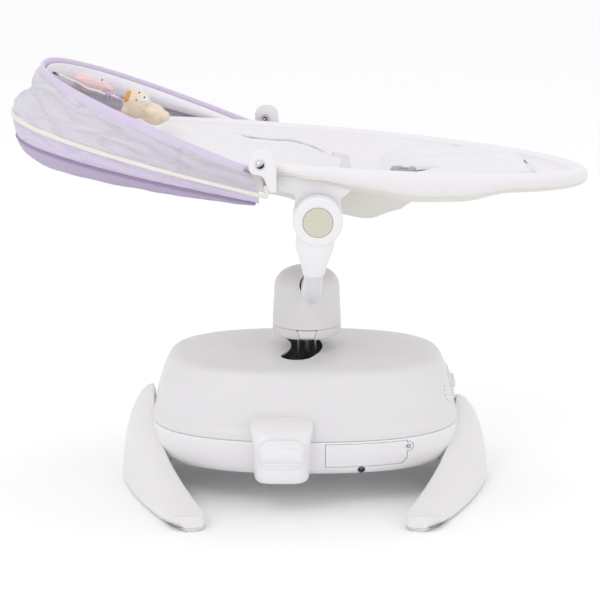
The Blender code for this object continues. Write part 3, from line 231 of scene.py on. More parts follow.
def smooth_line(points, steps=6, closed=False):
    """A smooth curve through points, with steps stretches between each two."""
    row = [Vector(p) for p in points]
    if closed:
        ends = [row[-1], *row, row[0], row[1]]
    else:
        ends = [2 * row[0] - row[1], *row, 2 * row[-1] - row[-2]]
    made = []
    for a, b, c, d in zip(ends, ends[1:], ends[2:], ends[3:]):
        for k in range(steps):
            t = k / steps
            made.append(0.5 * (2 * b + (c - a) * t + (2 * a - 5 * b + 4 * c - d) * t * t
                               + (3 * b - a - 3 * c + d) * t ** 3))
    return made if closed else [*made, row[-1]]


def evenly(points, pitch, closed=False):
    """Points every pitch along a line, with the direction of the line at each."""
    line = [Vector(p) for p in points] + ([Vector(points[0])] if closed else [])
    runs = run_lengths(line, False)
    count = max(1, int(runs[-1] / pitch))
    made, at = [], 0
    for k in range(count):
        want = (k + 0.5) * runs[-1] / count
        while runs[at + 1] < want:
            at += 1
        share = (want - runs[at]) / (runs[at + 1] - runs[at])
        made.append((line[at].lerp(line[at + 1], share), (line[at + 1] - line[at]).normalized()))
    return made


def frames_along(path, closed=False):
    """For each point of a path: the direction of the path and two more that don't twist along it."""
    made = []
    side = None
    for k, point in enumerate(path):
        before = path[k - 1] if k or closed else path[0]
        after = path[(k + 1) % len(path)] if k + 1 < len(path) or closed else path[-1]
        along = (after - before).normalized()
        if side is None:
            seed = Vector((0, 0, 1)) if abs(along.z) < 0.9 else Vector((1, 0, 0))
            side = seed.cross(along).normalized()
        side = (side - along * side.dot(along)).normalized()
        made.append((point, along, side, along.cross(side)))
    return made


def sweep(name, path, radius, around=16, closed=False):
    """A round bar along a path, with round ends."""
    path = [Vector(p) for p in path]
    rings = []
    last = len(path) - 1
    for k, (point, along, side, up) in enumerate(frames_along(path, closed)):
        hoods = [(0.0, 1.0)]
        if not closed and k in (0, last):
            arc = [(sin(radians(t)), cos(radians(t))) for t in (0, 30, 60, 86)]
            hoods = arc if k else [(-out, small) for out, small in reversed(arc)]
        for out, small in hoods:
            reach = radius * small
            rings.append([point + along * (out * radius) + side * (reach * cos(turn)) + up * (reach * sin(turn))
                          for turn in full_turn(around)])
    return loft(name, rings, True, closed)


def turned(name, profile, centre, axis="Z", around=96):
    """A closed profile of (radius, height) turned round an axis through centre."""
    turn_to = {"Z": Matrix.Identity(3), "Y": Matrix.Rotation(-pi / 2, 3, "X"), "X": Matrix.Rotation(pi / 2, 3, "Y")}
    rings = [[Vector(centre) + turn_to[axis] @ Vector((radius * cos(turn), radius * sin(turn), height))
              for turn in full_turn(around)] for radius, height in profile]
    return loft(name, rings, True, True, False)


def rod(name, radius, low, high, centre, axis="Z", around=96):
    """A plain round bar, mostly a cutter."""
    return turned(name, [(0, low), (radius, low), (radius, high), (0, high)], centre, axis, around)


def disc_profile(radius, low, high, edge, steps=5):
    """The profile of a solid disc with rounded rims, from its axis out and back."""
    turns = [pi / 2 * k / steps for k in range(steps + 1)]
    return [(0.0, low), *((radius - edge + edge * sin(turn), low + edge - edge * cos(turn)) for turn in turns),
            *((radius - edge + edge * cos(turn), high - edge + edge * sin(turn)) for turn in turns), (0.0, high)]


def power(value, exponent):
    return copysign(abs(value) ** exponent, value)


def oval(half_u, half_v, exponent, count, middle=(0.0, 0.0)):
    return [(middle[0] + half_u * power(cos(turn), 2 / exponent), middle[1] + half_v * power(sin(turn), 2 / exponent))
            for turn in full_turn(count)]


def read_off(table, at):
    """The value at a place in a table of (place, value), eased between its rows."""
    if at <= table[0][0]:
        return table[0][1]
    for (a, low), (b, high) in zip(table, table[1:]):
        if at <= b:
            t = (at - a) / (b - a)
            return low + (high - low) * (3 - 2 * t) * t * t
    return table[-1][1]


def plate(name, outline, axis, low, high):
    """A flat outline drawn out between low and high along an axis. Along Y it holds (x, z) points, along X (y, z)."""
    order = {"X": lambda u, v, w: (w, u, v), "Y": lambda u, v, w: (u, w, v), "Z": lambda u, v, w: (u, v, w)}[axis]
    return loft(name, [[order(u, v, w) for u, v in outline] for w in (low, high)])


def as_mesh(made):
    """Applies an object's modifiers."""
    bpy.context.view_layer.update()
    graph = bpy.context.evaluated_depsgraph_get()
    data = bpy.data.meshes.new_from_object(made.evaluated_get(graph), depsgraph=graph)
    made.modifiers.clear()
    old, made.data = made.data, data
    data.name = made.name
    bpy.data.meshes.remove(old)
    return made


def modified(made, kind, **settings):
    """Puts one modifier on a piece and applies it."""
    modifier = made.modifiers.new(kind.lower(), kind)
    for key, value in settings.items():
        setattr(modifier, key, value)
    return as_mesh(made)


def combine(made, other, operation):
    """Cuts, joins or crosses two meshes. The second one is used up."""
    modified(made, "BOOLEAN", operation=operation, object=other)
    bpy.data.objects.remove(other, do_unlink=True)
    return made


def cut(made, other):
    return combine(made, other, "DIFFERENCE")


def join(made, other):
    return combine(made, other, "UNION")


def bevelled(made, width, segments=3, angle=35):
    return modified(made, "BEVEL", width=width, segments=segments, limit_method="ANGLE",
                    angle_limit=radians(angle), use_clamp_overlap=True)


def walled(made, thickness):
    return modified(made, "SOLIDIFY", thickness=thickness, offset=-1.0, use_even_offset=True)


def melted(made, voxel, rounds):
    """Fuses a mesh of joined forms into one skin and smooths the places where they meet."""
    modified(made, "REMESH", mode="VOXEL", voxel_size=voxel)
    return modified(made, "SMOOTH", factor=0.5, iterations=rounds)


def joined(name, *others):
    """One object that holds several meshes side by side."""
    bm = bmesh.new()
    for other in others:
        bm.from_mesh(other.data)
        bpy.data.objects.remove(other, do_unlink=True)
    return shown(name, bm)


def worn(made, name, finish_name, sharp=40):
    """Names a piece and gives it its material and smooth shading, with edges sharper than the angle kept."""
    made.name = made.data.name = name
    made.data.materials.clear()
    made.data.materials.append(finish(finish_name))
    made.data.shade_smooth()
    made.data.set_sharp_from_angle(angle=radians(sharp))
    return made


def fitted(made, name, body, finish_name, stands_for=(), sharp=40):
    """Finishes a piece: its name, material, the body it moves with and the frame's pieces it stands for."""
    worn(made, name, finish_name, sharp)
    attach(made, body)
    if stands_for:
        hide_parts(*stands_for)
    return made


# Shader node groups that several materials share
FLOAT = "NodeSocketFloat"


def put(tree, kind, settings=None, **inputs):
    """Adds a node. Each input is a value or another node's output, named as its socket with _ for a space,
    or i0, i1 and so on by place."""
    made = tree.nodes.new(kind)
    for key, value in (settings or {}).items():
        setattr(made, key, value)
    for key, value in inputs.items():
        by_place = key[0] == "i" and key[1:].isdigit()
        socket = made.inputs[int(key[1:])] if by_place else made.inputs[key.replace("_", " ")]
        if isinstance(value, bpy.types.NodeSocket):
            tree.links.new(value, socket)
        else:
            socket.default_value = value
    return made


def first_of(tree, *kind, **inputs):
    """What a new node gives first."""
    return put(tree, *kind, **inputs).outputs[0]


def maths(tree, operation, *values):
    return first_of(tree, "ShaderNodeMath", {"operation": operation},
                    **{f"i{k}": value for k, value in enumerate(values)})


def times(tree, first, second):
    return maths(tree, "MULTIPLY", first, second)


def plus(tree, first, second):
    return maths(tree, "ADD", first, second)


def mixed(tree, factor, first, second):
    """Two colours mixed."""
    made = put(tree, "ShaderNodeMix", {"data_type": "RGBA"}, i0=factor)
    for place, value in ((6, first), (7, second)):
        if isinstance(value, bpy.types.NodeSocket):
            tree.links.new(value, made.inputs[place])
        else:
            made.inputs[place].default_value = (*value, 1.0)
    return made.outputs[2]


def ranged(tree, value, low, high, to_low=0.0, to_high=1.0):
    return first_of(tree, "ShaderNodeMapRange", None, i0=value, i1=low, i2=high, i3=to_low, i4=to_high)


def noise_of(tree, vector, scale, detail=3.0, rough=0.5):
    return first_of(tree, "ShaderNodeTexNoise", Vector=vector, Scale=scale, Detail=detail, Roughness=rough)


def node_group(name, outputs, build, **numbers):
    """A shader node group, built once, that takes a vector and numbers with their defaults and gives numbers."""
    if name in bpy.data.node_groups:
        return bpy.data.node_groups[name]
    tree = bpy.data.node_groups.new(name, "ShaderNodeTree")
    tree.interface.new_socket("Vector", in_out="INPUT", socket_type="NodeSocketVector")
    for label, default in numbers.items():
        tree.interface.new_socket(label, in_out="INPUT", socket_type=FLOAT).default_value = default
    for label in outputs:
        tree.interface.new_socket(label, in_out="OUTPUT", socket_type=FLOAT)
    start, end = tree.nodes.new("NodeGroupInput"), tree.nodes.new("NodeGroupOutput")
    for label, value in build(tree, start.outputs).items():
        tree.links.new(value, end.inputs[label])
    return tree


def use_group(tree, group, **inputs):
    return put(tree, "ShaderNodeGroup", {"node_tree": group}, **inputs).outputs


def moulded_group():
    """Moulded plastic: a fine spark-eroded grain, the slow swell of the wall, and faint smudges of handling."""
    def build(tree, given):
        grain = noise_of(tree, given["Vector"], given["Grain"], 2.0)
        swell = noise_of(tree, given["Vector"], given["Swell"], 1.0)
        smudge = noise_of(tree, given["Vector"], given["Smudge"], 4.0, 0.6)
        height = plus(tree, times(tree, grain, 0.35), times(tree, swell, 0.65))
        return {"Height": height, "Smudge": ranged(tree, smudge, 0.4, 0.72, 0.0, 1.0), "Grain": grain}
    return node_group("Moulded Surface", ("Height", "Smudge", "Grain"), build, Grain=900.0, Swell=14.0, Smudge=9.0)


def edge_group():
    """Where the form turns outwards sharply: a mask of the edges that rub, broken up by noise."""
    def build(tree, given):
        turn = put(tree, "ShaderNodeNewGeometry").outputs["Pointiness"]
        edge = ranged(tree, turn, given["From"], given["To"], 0.0, 1.0)
        breaks = noise_of(tree, given["Vector"], 160.0, 4.0, 0.7)
        return {"Edge": times(tree, edge, ranged(tree, breaks, 0.35, 0.65, 0.2, 1.0))}
    return node_group("Rubbed Edges", ("Edge",), build, From=0.52, To=0.62)


def dust_and_shade_group():
    """Dust that settles on what faces up, with painted shade on the same up-facing surfaces, broken up by noise."""
    def build(tree, given):
        normal = put(tree, "ShaderNodeNewGeometry").outputs["Normal"]
        up = put(tree, "ShaderNodeSeparateXYZ", Vector=normal).outputs["Z"]
        cloud = noise_of(tree, given["Vector"], 26.0, 5.0, 0.65)
        dust_and_shade = times(tree, ranged(tree, up, 0.35, 1.0, 0.0, 1.0), ranged(tree, cloud, 0.3, 0.8, 0.0, 1.0))
        return {"Dust": times(tree, dust_and_shade, given["Amount"])}
    return node_group("Settled Dust and Top Shade", ("Dust",), build, Amount=0.3)


def weave_group():
    """Plain weave on a map in metres: threads that pass over and under each other, with uneven yarn."""
    def build(tree, given):
        part = put(tree, "ShaderNodeSeparateXYZ", Vector=given["Vector"]).outputs
        turns = maths(tree, "DIVIDE", pi, given["Pitch"])
        along, over = (maths(tree, "SINE", times(tree, part[axis], turns)) for axis in "XY")
        warp, weft = maths(tree, "ABSOLUTE", along), maths(tree, "ABSOLUTE", over)
        top = ranged(tree, times(tree, along, over), -0.4, 0.4)
        lift = plus(tree, times(tree, warp, top), times(tree, weft, maths(tree, "SUBTRACT", 1.0, top)))
        yarn = noise_of(tree, given["Vector"], 420.0, 2.0)
        cloud = noise_of(tree, given["Vector"], 11.0, 3.0)
        return {"Height": plus(tree, lift, times(tree, yarn, 0.4)), "Thread": lift,
                "Cloud": ranged(tree, cloud, 0.3, 0.7)}
    return node_group("Plain Weave", ("Height", "Thread", "Cloud"), build, Pitch=0.0011)


def knit_group():
    """Brushed knit on Object coordinates: short soft fibres over slow soft dimples."""
    def build(tree, given):
        fibre = noise_of(tree, given["Vector"], given["Fibre"], 4.0, 0.7)
        dimple = noise_of(tree, given["Vector"], given["Dimple"], 2.0)
        height = plus(tree, times(tree, fibre, 0.3), dimple)
        return {"Height": height, "Fibre": fibre, "Cloud": ranged(tree, dimple, 0.3, 0.7, 0.0, 1.0)}
    return node_group("Brushed Knit", ("Height", "Fibre", "Cloud"), build, Fibre=700.0, Dimple=24.0)


# Materials
def tinted(tone, share, lift=0.0):
    """A tone made darker or paler."""
    return tuple(min(1.0, c * share + lift) for c in tone)


def rubbed(tree, place):
    return use_group(tree, edge_group(), Vector=place)["Edge"]


def facing_part(tree, axis):
    normal = put(tree, "ShaderNodeNewGeometry").outputs["Normal"]
    return put(tree, "ShaderNodeSeparateXYZ", Vector=normal).outputs[axis]


def cloth_map(tree):
    return first_of(tree, "ShaderNodeUVMap", {"uv_map": "cloth"})


def shaded(name, roughness, metallic=0.0, sheen=0.0, coat=0.0, alpha=1.0, soft=0.0):
    """A material whose even values are set on its shader's own sockets, with its tree and its place in it."""
    made = bpy.data.materials.new(name)
    made.use_nodes = True
    tree = made.node_tree
    for label, value in {"Roughness": roughness, "Metallic": metallic, "Sheen Weight": sheen, "Sheen Roughness": 0.5,
                         "Coat Weight": coat, "Coat Roughness": 0.12, "Alpha": alpha, "Subsurface Weight": soft,
                         "Subsurface Scale": 0.004}.items():
        tree.nodes["Principled BSDF"].inputs[label].default_value = value
    return made, tree, put(tree, "ShaderNodeTexCoord").outputs["Object"]


def dressed(made, base, rough=None, height=None, distance=0.0):
    """Joins a colour, a roughness and a relief to a material's shader."""
    tree = made.node_tree
    bump = height and put(tree, "ShaderNodeBump", Height=height, Distance=distance, Strength=1.0).outputs["Normal"]
    for label, value in (("Base Color", base), ("Roughness", rough), ("Normal", bump)):
        if value:
            tree.links.new(value, tree.nodes["Principled BSDF"].inputs[label])
    return made


def plastic(name, tone, roughness=0.36, grain=900.0, depth=0.00006, mottle=0.04, dust_and_shade_amount=0.1, coat=0.0, speckle=0.0):
    """Moulded plastic in one tone."""
    made, tree, place = shaded(name, roughness, coat=coat)
    moulded = use_group(tree, moulded_group(), Vector=place, Grain=grain)
    dust_and_shade = use_group(tree, dust_and_shade_group(), Vector=place, Amount=dust_and_shade_amount)["Dust"]
    base = mixed(tree, times(tree, moulded["Smudge"], mottle), tone, tinted(tone, 0.72))
    base = mixed(tree, times(tree, rubbed(tree, place), 0.35), base, tinted(tone, 1.18, 0.02))
    # dust and painted shade: what faces up is darkened towards a grey beige
    base = mixed(tree, dust_and_shade, base, srgb(216, 212, 206))
    if speckle:
        dots = ranged(tree, noise_of(tree, place, grain * 1.6, 0.0), 0.52, 0.6)
        base = mixed(tree, times(tree, dots, speckle), base, tinted(tone, 0.6))
    handled = ranged(tree, moulded["Smudge"], 0.0, 1.0, roughness - 0.03, roughness + 0.09)
    return dressed(made, base, plus(tree, handled, times(tree, dust_and_shade, 0.5)), moulded["Height"], depth)


def metal(name, tone, roughness, brushed=0.0, painted_reflection=False):
    """Plated or bare metal. brushed stretches the noise along X into fine lines; painted_reflection paints a dark
    reflection round the foot of a dome.
    """
    made, tree, place = shaded(name, roughness, metallic=1.0)
    squeezed = first_of(tree, "ShaderNodeMapping", Vector=place, Scale=(1.0 - 0.97 * brushed, 1.0, 1.0))
    lines = noise_of(tree, squeezed, 1400.0, 3.0)
    stain = noise_of(tree, place, 40.0, 4.0, 0.6)
    base = mixed(tree, ranged(tree, stain, 0.35, 0.75, 0.0, 0.35), tone, tinted(tone, 0.7))
    base = mixed(tree, times(tree, rubbed(tree, place), 0.4), base, (0.9, 0.9, 0.91))
    if painted_reflection:  # painted reflection: dark round the foot of a dome, where it faces down and towards +X
        lean = plus(tree, times(tree, facing_part(tree, "X"), -0.55), facing_part(tree, "Z"))
        base = mixed(tree, ranged(tree, lean, -0.35, 0.12, 1.0, 0.0), base, (0.03, 0.03, 0.036))
    worn_away = ranged(tree, plus(tree, lines, stain), 0.6, 1.4, roughness * 0.8, roughness * 1.3 + 0.02)
    return dressed(made, base, worn_away, lines, 0.00002)


def coated_tube(name, tone):
    """Powder coat: a tight orange peel with a low clear gloss."""
    made, tree, place = shaded(name, 0.33, coat=0.15)
    peel = noise_of(tree, place, 1100.0, 2.0)
    base = mixed(tree, ranged(tree, peel, 0.4, 0.7, 0.0, 0.12), tone, tinted(tone, 0.8))
    base = mixed(tree, times(tree, rubbed(tree, place), 0.25), base, (0.85, 0.85, 0.85))
    return dressed(made, base, ranged(tree, peel, 0.3, 0.7, 0.28, 0.4), peel, 0.00008)


def rubber(name, tone):
    made, tree, place = shaded(name, 0.8)
    grain = noise_of(tree, place, 500.0, 4.0, 0.7)
    base = mixed(tree, ranged(tree, grain, 0.3, 0.7, 0.0, 0.3), tone, tinted(tone, 0.75))
    base = mixed(tree, times(tree, rubbed(tree, place), 0.4), base, srgb(170, 168, 166))
    return dressed(made, base, ranged(tree, grain, 0.3, 0.7, 0.7, 0.9), grain, 0.00015)


def woven(name, tone, pitch, shade=0.14, depth=0.0002, alpha=1.0, sheen=0.25, crease=0.0, lightness=1.0):
    """Woven cloth on its own map: thread relief, uneven yarn, slow changes of tone, and painted shade between threads
    and in creases.
    """
    made, tree, _ = shaded(name, 0.85, sheen=sheen, alpha=alpha)
    cloth = cloth_map(tree)
    weave = use_group(tree, weave_group(), Vector=cloth, Pitch=pitch)
    deep = tinted(tone, 0.7)
    # painted shade: the gaps between the threads are darkened
    gaps = times(tree, maths(tree, "SUBTRACT", 1.0, weave["Thread"]), shade)
    base = mixed(tree, gaps, tinted(tone, lightness), deep)
    base = mixed(tree, times(tree, weave["Cloud"], 0.16), base, tinted(tone, 1.2, 0.03))
    height = weave["Height"]
    if crease:
        run = first_of(tree, "ShaderNodeMapping", Vector=cloth, Scale=(1.5, 0.32, 1.0))
        folds = first_of(tree, "ShaderNodeTexNoise", Vector=run, Scale=30.0, Detail=4.0, Roughness=0.5, Distortion=0.5)
        ridge = maths(tree, "ABSOLUTE", maths(tree, "SUBTRACT", folds, 0.5))
        height = plus(tree, height, times(tree, ridge, crease))
        # painted shade: the cloth darkens along the bottoms of its creases
        base = mixed(tree, ranged(tree, ridge, 0.0, 0.07, min(0.7, 0.25 * crease), 0.0), base, deep)
    return dressed(made, base, ranged(tree, weave["Cloud"], 0.0, 1.0, 0.78, 0.92), height, depth)


def brushed_knit(name, tone, under=None, dimple=24.0, depth=0.0009):
    """Soft knit of the seat. under is a tone of painted shade for what faces down."""
    made, tree, place = shaded(name, 0.92, sheen=0.35)
    knit = use_group(tree, knit_group(), Vector=place, Dimple=dimple)
    weave = use_group(tree, weave_group(), Vector=cloth_map(tree), Pitch=0.0016)
    base = mixed(tree, times(tree, knit["Fibre"], 0.16), tone, tinted(tone, 0.78))
    base = mixed(tree, times(tree, knit["Cloud"], 0.12), base, tinted(tone, 1.1, 0.02))
    if under:
        # painted shade: what faces down is mixed towards the under tone
        base = mixed(tree, ranged(tree, facing_part(tree, "Z"), -0.55, 0.15, 1.0, 0.0), base, under)
    height = plus(tree, knit["Height"], times(tree, weave["Height"], 0.12))
    return dressed(made, base, ranged(tree, knit["Fibre"], 0.3, 0.7, 0.85, 0.97), height, depth)


def plush(name, tone, pile=900.0):
    """Short plush: a clumped pile with painted shade between its clumps, which leaves it lighter at its tips."""
    made, tree, place = shaded(name, 1.0, sheen=0.8, soft=0.15)
    hair = noise_of(tree, place, pile, 5.0, 0.75)
    clump = put(tree, "ShaderNodeTexVoronoi", {"feature": "F1"}, Vector=place, Scale=pile * 0.42).outputs["Distance"]
    base = mixed(tree, ranged(tree, plus(tree, hair, clump), 0.6, 1.3, 0.0, 0.4), tone, tinted(tone, 0.72))
    return dressed(made, base, ranged(tree, hair, 0.3, 0.7, 0.9, 1.0), maths(tree, "SUBTRACT", hair, clump), 0.0011)


def board_mask(name, tone):
    """Solder mask with the pattern of its copper tracks."""
    made, tree, place = shaded(name, 0.35, coat=0.4)
    black = (0, 0, 0, 1)
    tracks = put(tree, "ShaderNodeTexBrick", Vector=place, Scale=160.0, Mortar_Size=0.04, Color1=black,
                 Color2=black, Mortar=(1, 1, 1, 1)).outputs["Fac"]
    grain = noise_of(tree, place, 700.0)
    base = mixed(tree, times(tree, grain, 0.2), mixed(tree, tracks, tone, srgb(58, 138, 84)), (0.02, 0.08, 0.04))
    return dressed(made, base, None, tracks, 0.00005)


FINISHES = {}


def finish(name):
    """The material of that name, made when it is first asked for."""
    tone, weave = colours(), sizes().weave
    if name in FINISHES:
        return FINISHES[name]
    # each finish: what makes it, its name, its tone, and what differs from that maker's usual values
    maker, label, tint, *rest = {
        "shell": (plastic, "shell_plastic", tone.shell),
        # painted shade: a darker copy of the shell plastic for the domed top
        "upper": (plastic, "upper_plastic", tone.upper),
        "trim": (plastic, "trim_plastic", tone.trim, 0.34),
        "pillar": (plastic, "pillar_plastic", tone.pillar, 0.4),
        "disc": (plastic, "disc_plastic", tone.disc, 0.62, 1500.0, 0.0002, 0.08, 0.05, 0.0, 0.34),
        "dark": (plastic, "dark_plastic", tone.dark, 0.5, 700.0, 0.0001, 0.2, 0.06),
        "buckle": (plastic, "buckle_plastic", srgb(158, 157, 162), 0.42, 800.0, 0.00008, 0.1, 0.08),
        "gear": (plastic, "gear_nylon", srgb(226, 221, 202), 0.45, 500.0, 0.00008, 0.1, 0.05),
        "void": (plastic, "hole_shadow", srgb(34, 30, 40), 0.8, 700.0, 0.0001, 0.1, 0.0),
        "eye": (plastic, "eye_bead", srgb(46, 58, 74), 0.12, 400.0, 0.00002, 0.05, 0.0, 0.6),
        "clip": (plastic, "strap_clip", srgb(66, 62, 70), 0.4, 700.0, 0.0001, 0.1, 0.04),
        "pad": (rubber, "pad_rubber", tone.pad),
        "steel": (metal, "zinc_steel", srgb(178, 176, 184), 0.28, 0.8),
        # the rivets' chrome carries a painted reflection, dark where its domes face down
        "chrome": (metal, "rivet_chrome", srgb(226, 226, 230), 0.1, 0.0, True),
        "tube": (coated_tube, "powder_coat", tone.tube),
        "board": (board_mask, "solder_mask", srgb(24, 96, 52)),
        # the seat knit's downward faces take the painted shade tone
        "seat": (brushed_knit, "seat_knit", tone.seat, tuple(tone.underside_shade)),
        "liner": (brushed_knit, "liner_knit", tone.liner, None, 34.0, 0.0012),
        "webbing": (woven, "belt_webbing", tone.webbing, 0.0014, 0.4, 0.0004),
        "canopy": (woven, "canopy_cloth", tone.canopy, weave, 0.14, 0.0002, 1.0, 0.25, 1.2),
        # painted shade: a darker copy of the canopy cloth, with deeper gaps between its threads
        "fold": (woven, "fold_cloth", tone.fold, weave * 1.25, 0.34, 0.0004),
        "net": (woven, "sheer_net", tone.net, weave * 1.1, 0.12, 0.0004, 0.9, 0.35, 1.5),
        "band": (woven, "hem_band", tone.canopy, weave * 0.8, 0.12, 0.0002, 1.0, 0.25, 0.0, 1.04),
        "piping": (woven, "cream_piping", tone.piping, 0.0009, 0.2, 0.00018),
        "shade": (woven, "shadowed_cloth", srgb(150, 134, 168), weave, 0.2, 0.0002),
        "thread": (woven, "sewing_thread", srgb(222, 220, 226), 0.0004, 0.3, 0.0001),
        "lining": (woven, "pale_lining", srgb(240, 236, 245), 0.001, 0.12, 0.0002, 1.0, 0.25, 0.6),
        "lace": (woven, "lilac_lace", srgb(228, 206, 230), 0.0016, 0.5, 0.0006, 1.0, 0.25, 2.0),
        "bear": (plush, "bear_plush", tone.bear),
        "muzzle": (plush, "muzzle_plush", srgb(252, 250, 248)),
        "rabbit": (plush, "rabbit_plush", tone.rabbit),
        "felt": (plush, "orange_felt", tone.felt, 1500.0),
    }[name]
    FINISHES[name] = maker(label, tuple(tint), *rest)
    return FINISHES[name]


# Geometry Nodes: what repeats along a seam or over a surface
def repeat_tree(name, shape):
    """A tree that sets one small form on each point of its mesh, turned to the point's 'facing' and 'along'
    attributes. shape adds the form's nodes and gives (its geometry output, its own inputs)."""
    tree = bpy.data.node_groups.new(name, "GeometryNodeTree")
    for label, kind, default in (("Geometry", "NodeSocketGeometry", None), ("Length", FLOAT, 0.003),
                                 ("Width", FLOAT, 0.0005), ("Unevenness", FLOAT, 0.0), ("Seed", "NodeSocketInt", 7),
                                 ("Material", "NodeSocketMaterial", None)):
        socket = tree.interface.new_socket(label, in_out="INPUT", socket_type=kind)
        if default is not None:
            socket.default_value = default
    tree.interface.new_socket("Geometry", in_out="OUTPUT", socket_type="NodeSocketGeometry")
    given = tree.nodes.new("NodeGroupInput").outputs
    facing, along = (first_of(tree, "GeometryNodeInputNamedAttribute", {"data_type": "FLOAT_VECTOR"}, Name=name)
                     for name in ("facing", "along"))
    upright = first_of(tree, "FunctionNodeAlignRotationToVector", {"axis": "Z"}, Vector=facing)
    turned_to = first_of(tree, "FunctionNodeAlignRotationToVector", {"axis": "X", "pivot_axis": "Z"},
                         Rotation=upright, Vector=along)
    jitter = put(tree, "FunctionNodeRandomValue", {"data_type": "FLOAT"}, i2=-1.0, i3=1.0, i8=given["Seed"]).outputs[1]
    size = first_of(tree, "ShaderNodeMath", {"operation": "MULTIPLY_ADD"}, i0=jitter, i1=given["Unevenness"], i2=1.0)
    form = shape(tree, given)
    placed = first_of(tree, "GeometryNodeInstanceOnPoints", Points=given["Geometry"], Instance=form,
                      Rotation=turned_to, Scale=size)
    real = first_of(tree, "GeometryNodeRealizeInstances", Geometry=placed)
    coated = first_of(tree, "GeometryNodeSetMaterial", Geometry=real, Material=given["Material"])
    smooth = first_of(tree, "GeometryNodeSetShadeSmooth", Geometry=coated)
    tree.links.new(smooth, tree.nodes.new("NodeGroupOutput").inputs[0])
    return tree


def stitch_shape(tree, given):
    """A stitch: a short bar of thread with its ends sunk."""
    ball = first_of(tree, "GeometryNodeMeshUVSphere", Segments=8, Rings=5, Radius=0.5)
    size = first_of(tree, "ShaderNodeCombineXYZ", X=given["Length"], Y=given["Width"], Z=given["Width"])
    return first_of(tree, "GeometryNodeTransform", Geometry=ball, Scale=size)


def hole_shape(tree, given):
    """A round cutter, as long as Length and Width across."""
    radius = times(tree, given["Width"], 0.5)
    return first_of(tree, "GeometryNodeMeshCylinder", Vertices=20, Radius=radius, Depth=given["Length"])


REPEATS = {"stitches": stitch_shape, "holes": hole_shape}


def repeated(name, kind, places, long, wide, material, uneven=0.0):
    """A small form at each of places, which are (point, direction it faces, direction it runs)."""
    tree = bpy.data.node_groups.get(kind) or repeat_tree(kind, REPEATS[kind])
    data = bpy.data.meshes.new(name)
    data.from_pydata([tuple(point) for point, _, _ in places], [], [])
    for label, column in (("facing", 1), ("along", 2)):
        attribute = data.attributes.new(label, "FLOAT_VECTOR", "POINT")
        attribute.data.foreach_set("vector", np.array([tuple(row[column]) for row in places], np.float32).ravel())
    made = placed(name, data)
    modifier = made.modifiers.new("repeat", "NODES")
    modifier.node_group = tree
    values = {"Length": long, "Width": wide, "Unevenness": uneven, "Material": material}
    for socket in tree.interface.items_tree:
        if socket.in_out == "INPUT" and socket.name in values:
            modifier[socket.identifier] = values[socket.name]
    return as_mesh(made)


def seam(name, path, facing, body, slot, closed=False, sink=0.0001):
    """A row of stitches along a path. facing gives the outward direction at a point."""
    size = sizes()
    places = [(point + facing(point) * sink, facing(point), along)
              for point, along in evenly(path, size.stitch_pitch, closed)]
    made = repeated(name, "stitches", places, size.stitch_length, size.thread, finish("thread"), 0.12)
    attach(made, body)
    return made


# Places that several pieces share, read off the frame
BASE_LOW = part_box("base_lower_shell")[0]
BASE_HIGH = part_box("base_upper_shell")[1]
BASE_MIDDLE = (BASE_LOW + BASE_HIGH) / 2
BASE_HALF_LENGTH = (BASE_HIGH.x - BASE_LOW.x) / 2
BASE_HALF_DEPTH = (BASE_HIGH.y - BASE_LOW.y) / 2
BASE_HEIGHT = BASE_HIGH.z - BASE_LOW.z
BASE_SEAM_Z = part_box("base_lower_shell")[1].z
BASE_SHAPE = 2.5  # exponent of the oval that the base is in plan
# share of the base's height, and how far its side stands in there: a soft shoulder lies under the middle
BASE_SIDE = ((0.0, 0.02), (0.02, 0.013), (0.07, 0.006), (0.17, 0.0014), (0.28, 0.0), (0.38, 0.0003), (0.41, 0.001),
             (0.445, 0.0038), (0.48, 0.0056), (0.61, 0.0088), (0.77, 0.016), (0.88, 0.0228), (0.935, 0.0275),
             (0.965, 0.0335), (0.983, 0.043), (0.995, 0.06), (1.0, 0.095))
PIVOT = next(joint for joint in frame["joints"] if joint["name"] == "swing_turn")["pos_m"]
PILLAR = middle_of("pillar_cover")
HINGE = middle_of("recline_button_near")
SWING_RADIUS = PILLAR.x - PIVOT[0]


def base_inset(z):
    """How far the base's side stands in from its widest outline at a height."""
    return float(np.interp((z - BASE_LOW.z) / BASE_HEIGHT, *zip(*BASE_SIDE)))


def base_oval(inset, z, count=160):
    return [Vector((x, y, z)) for x, y in oval(BASE_HALF_LENGTH - inset, BASE_HALF_DEPTH - inset, BASE_SHAPE,
                                               count, BASE_MIDDLE.xy)]


def base_outline():
    """The base's side as a smooth line of (inset, z), from the bottom up to the flat of its top."""
    rows = [(inset, BASE_LOW.z + share * BASE_HEIGHT, 0) for share, inset in BASE_SIDE]
    return [(point.x, min(point.y, BASE_HIGH.z)) for point in smooth_line(rows, 4)]


def base_reach(offset, z, half_along, half_across):
    """How far the housing's wall stands from one middle plane, at an offset from the other."""
    inset = base_inset(z)
    share = min(1.0, abs(offset) / (half_along - inset))
    return (half_across - inset) * (1 - share ** BASE_SHAPE) ** (1 / BASE_SHAPE)


def base_side_y(x, z):
    return base_reach(x - BASE_MIDDLE.x, z, BASE_HALF_LENGTH, BASE_HALF_DEPTH)


def base_form(grow=0.0):
    """The housing's outer form as one solid."""
    return loft("base_form", [base_oval(inset - grow, z) for inset, z in base_outline()])


def shrunk(ring, share):
    middle = sum(ring, Vector()) / len(ring)
    return [middle + (point - middle) * share for point in ring]


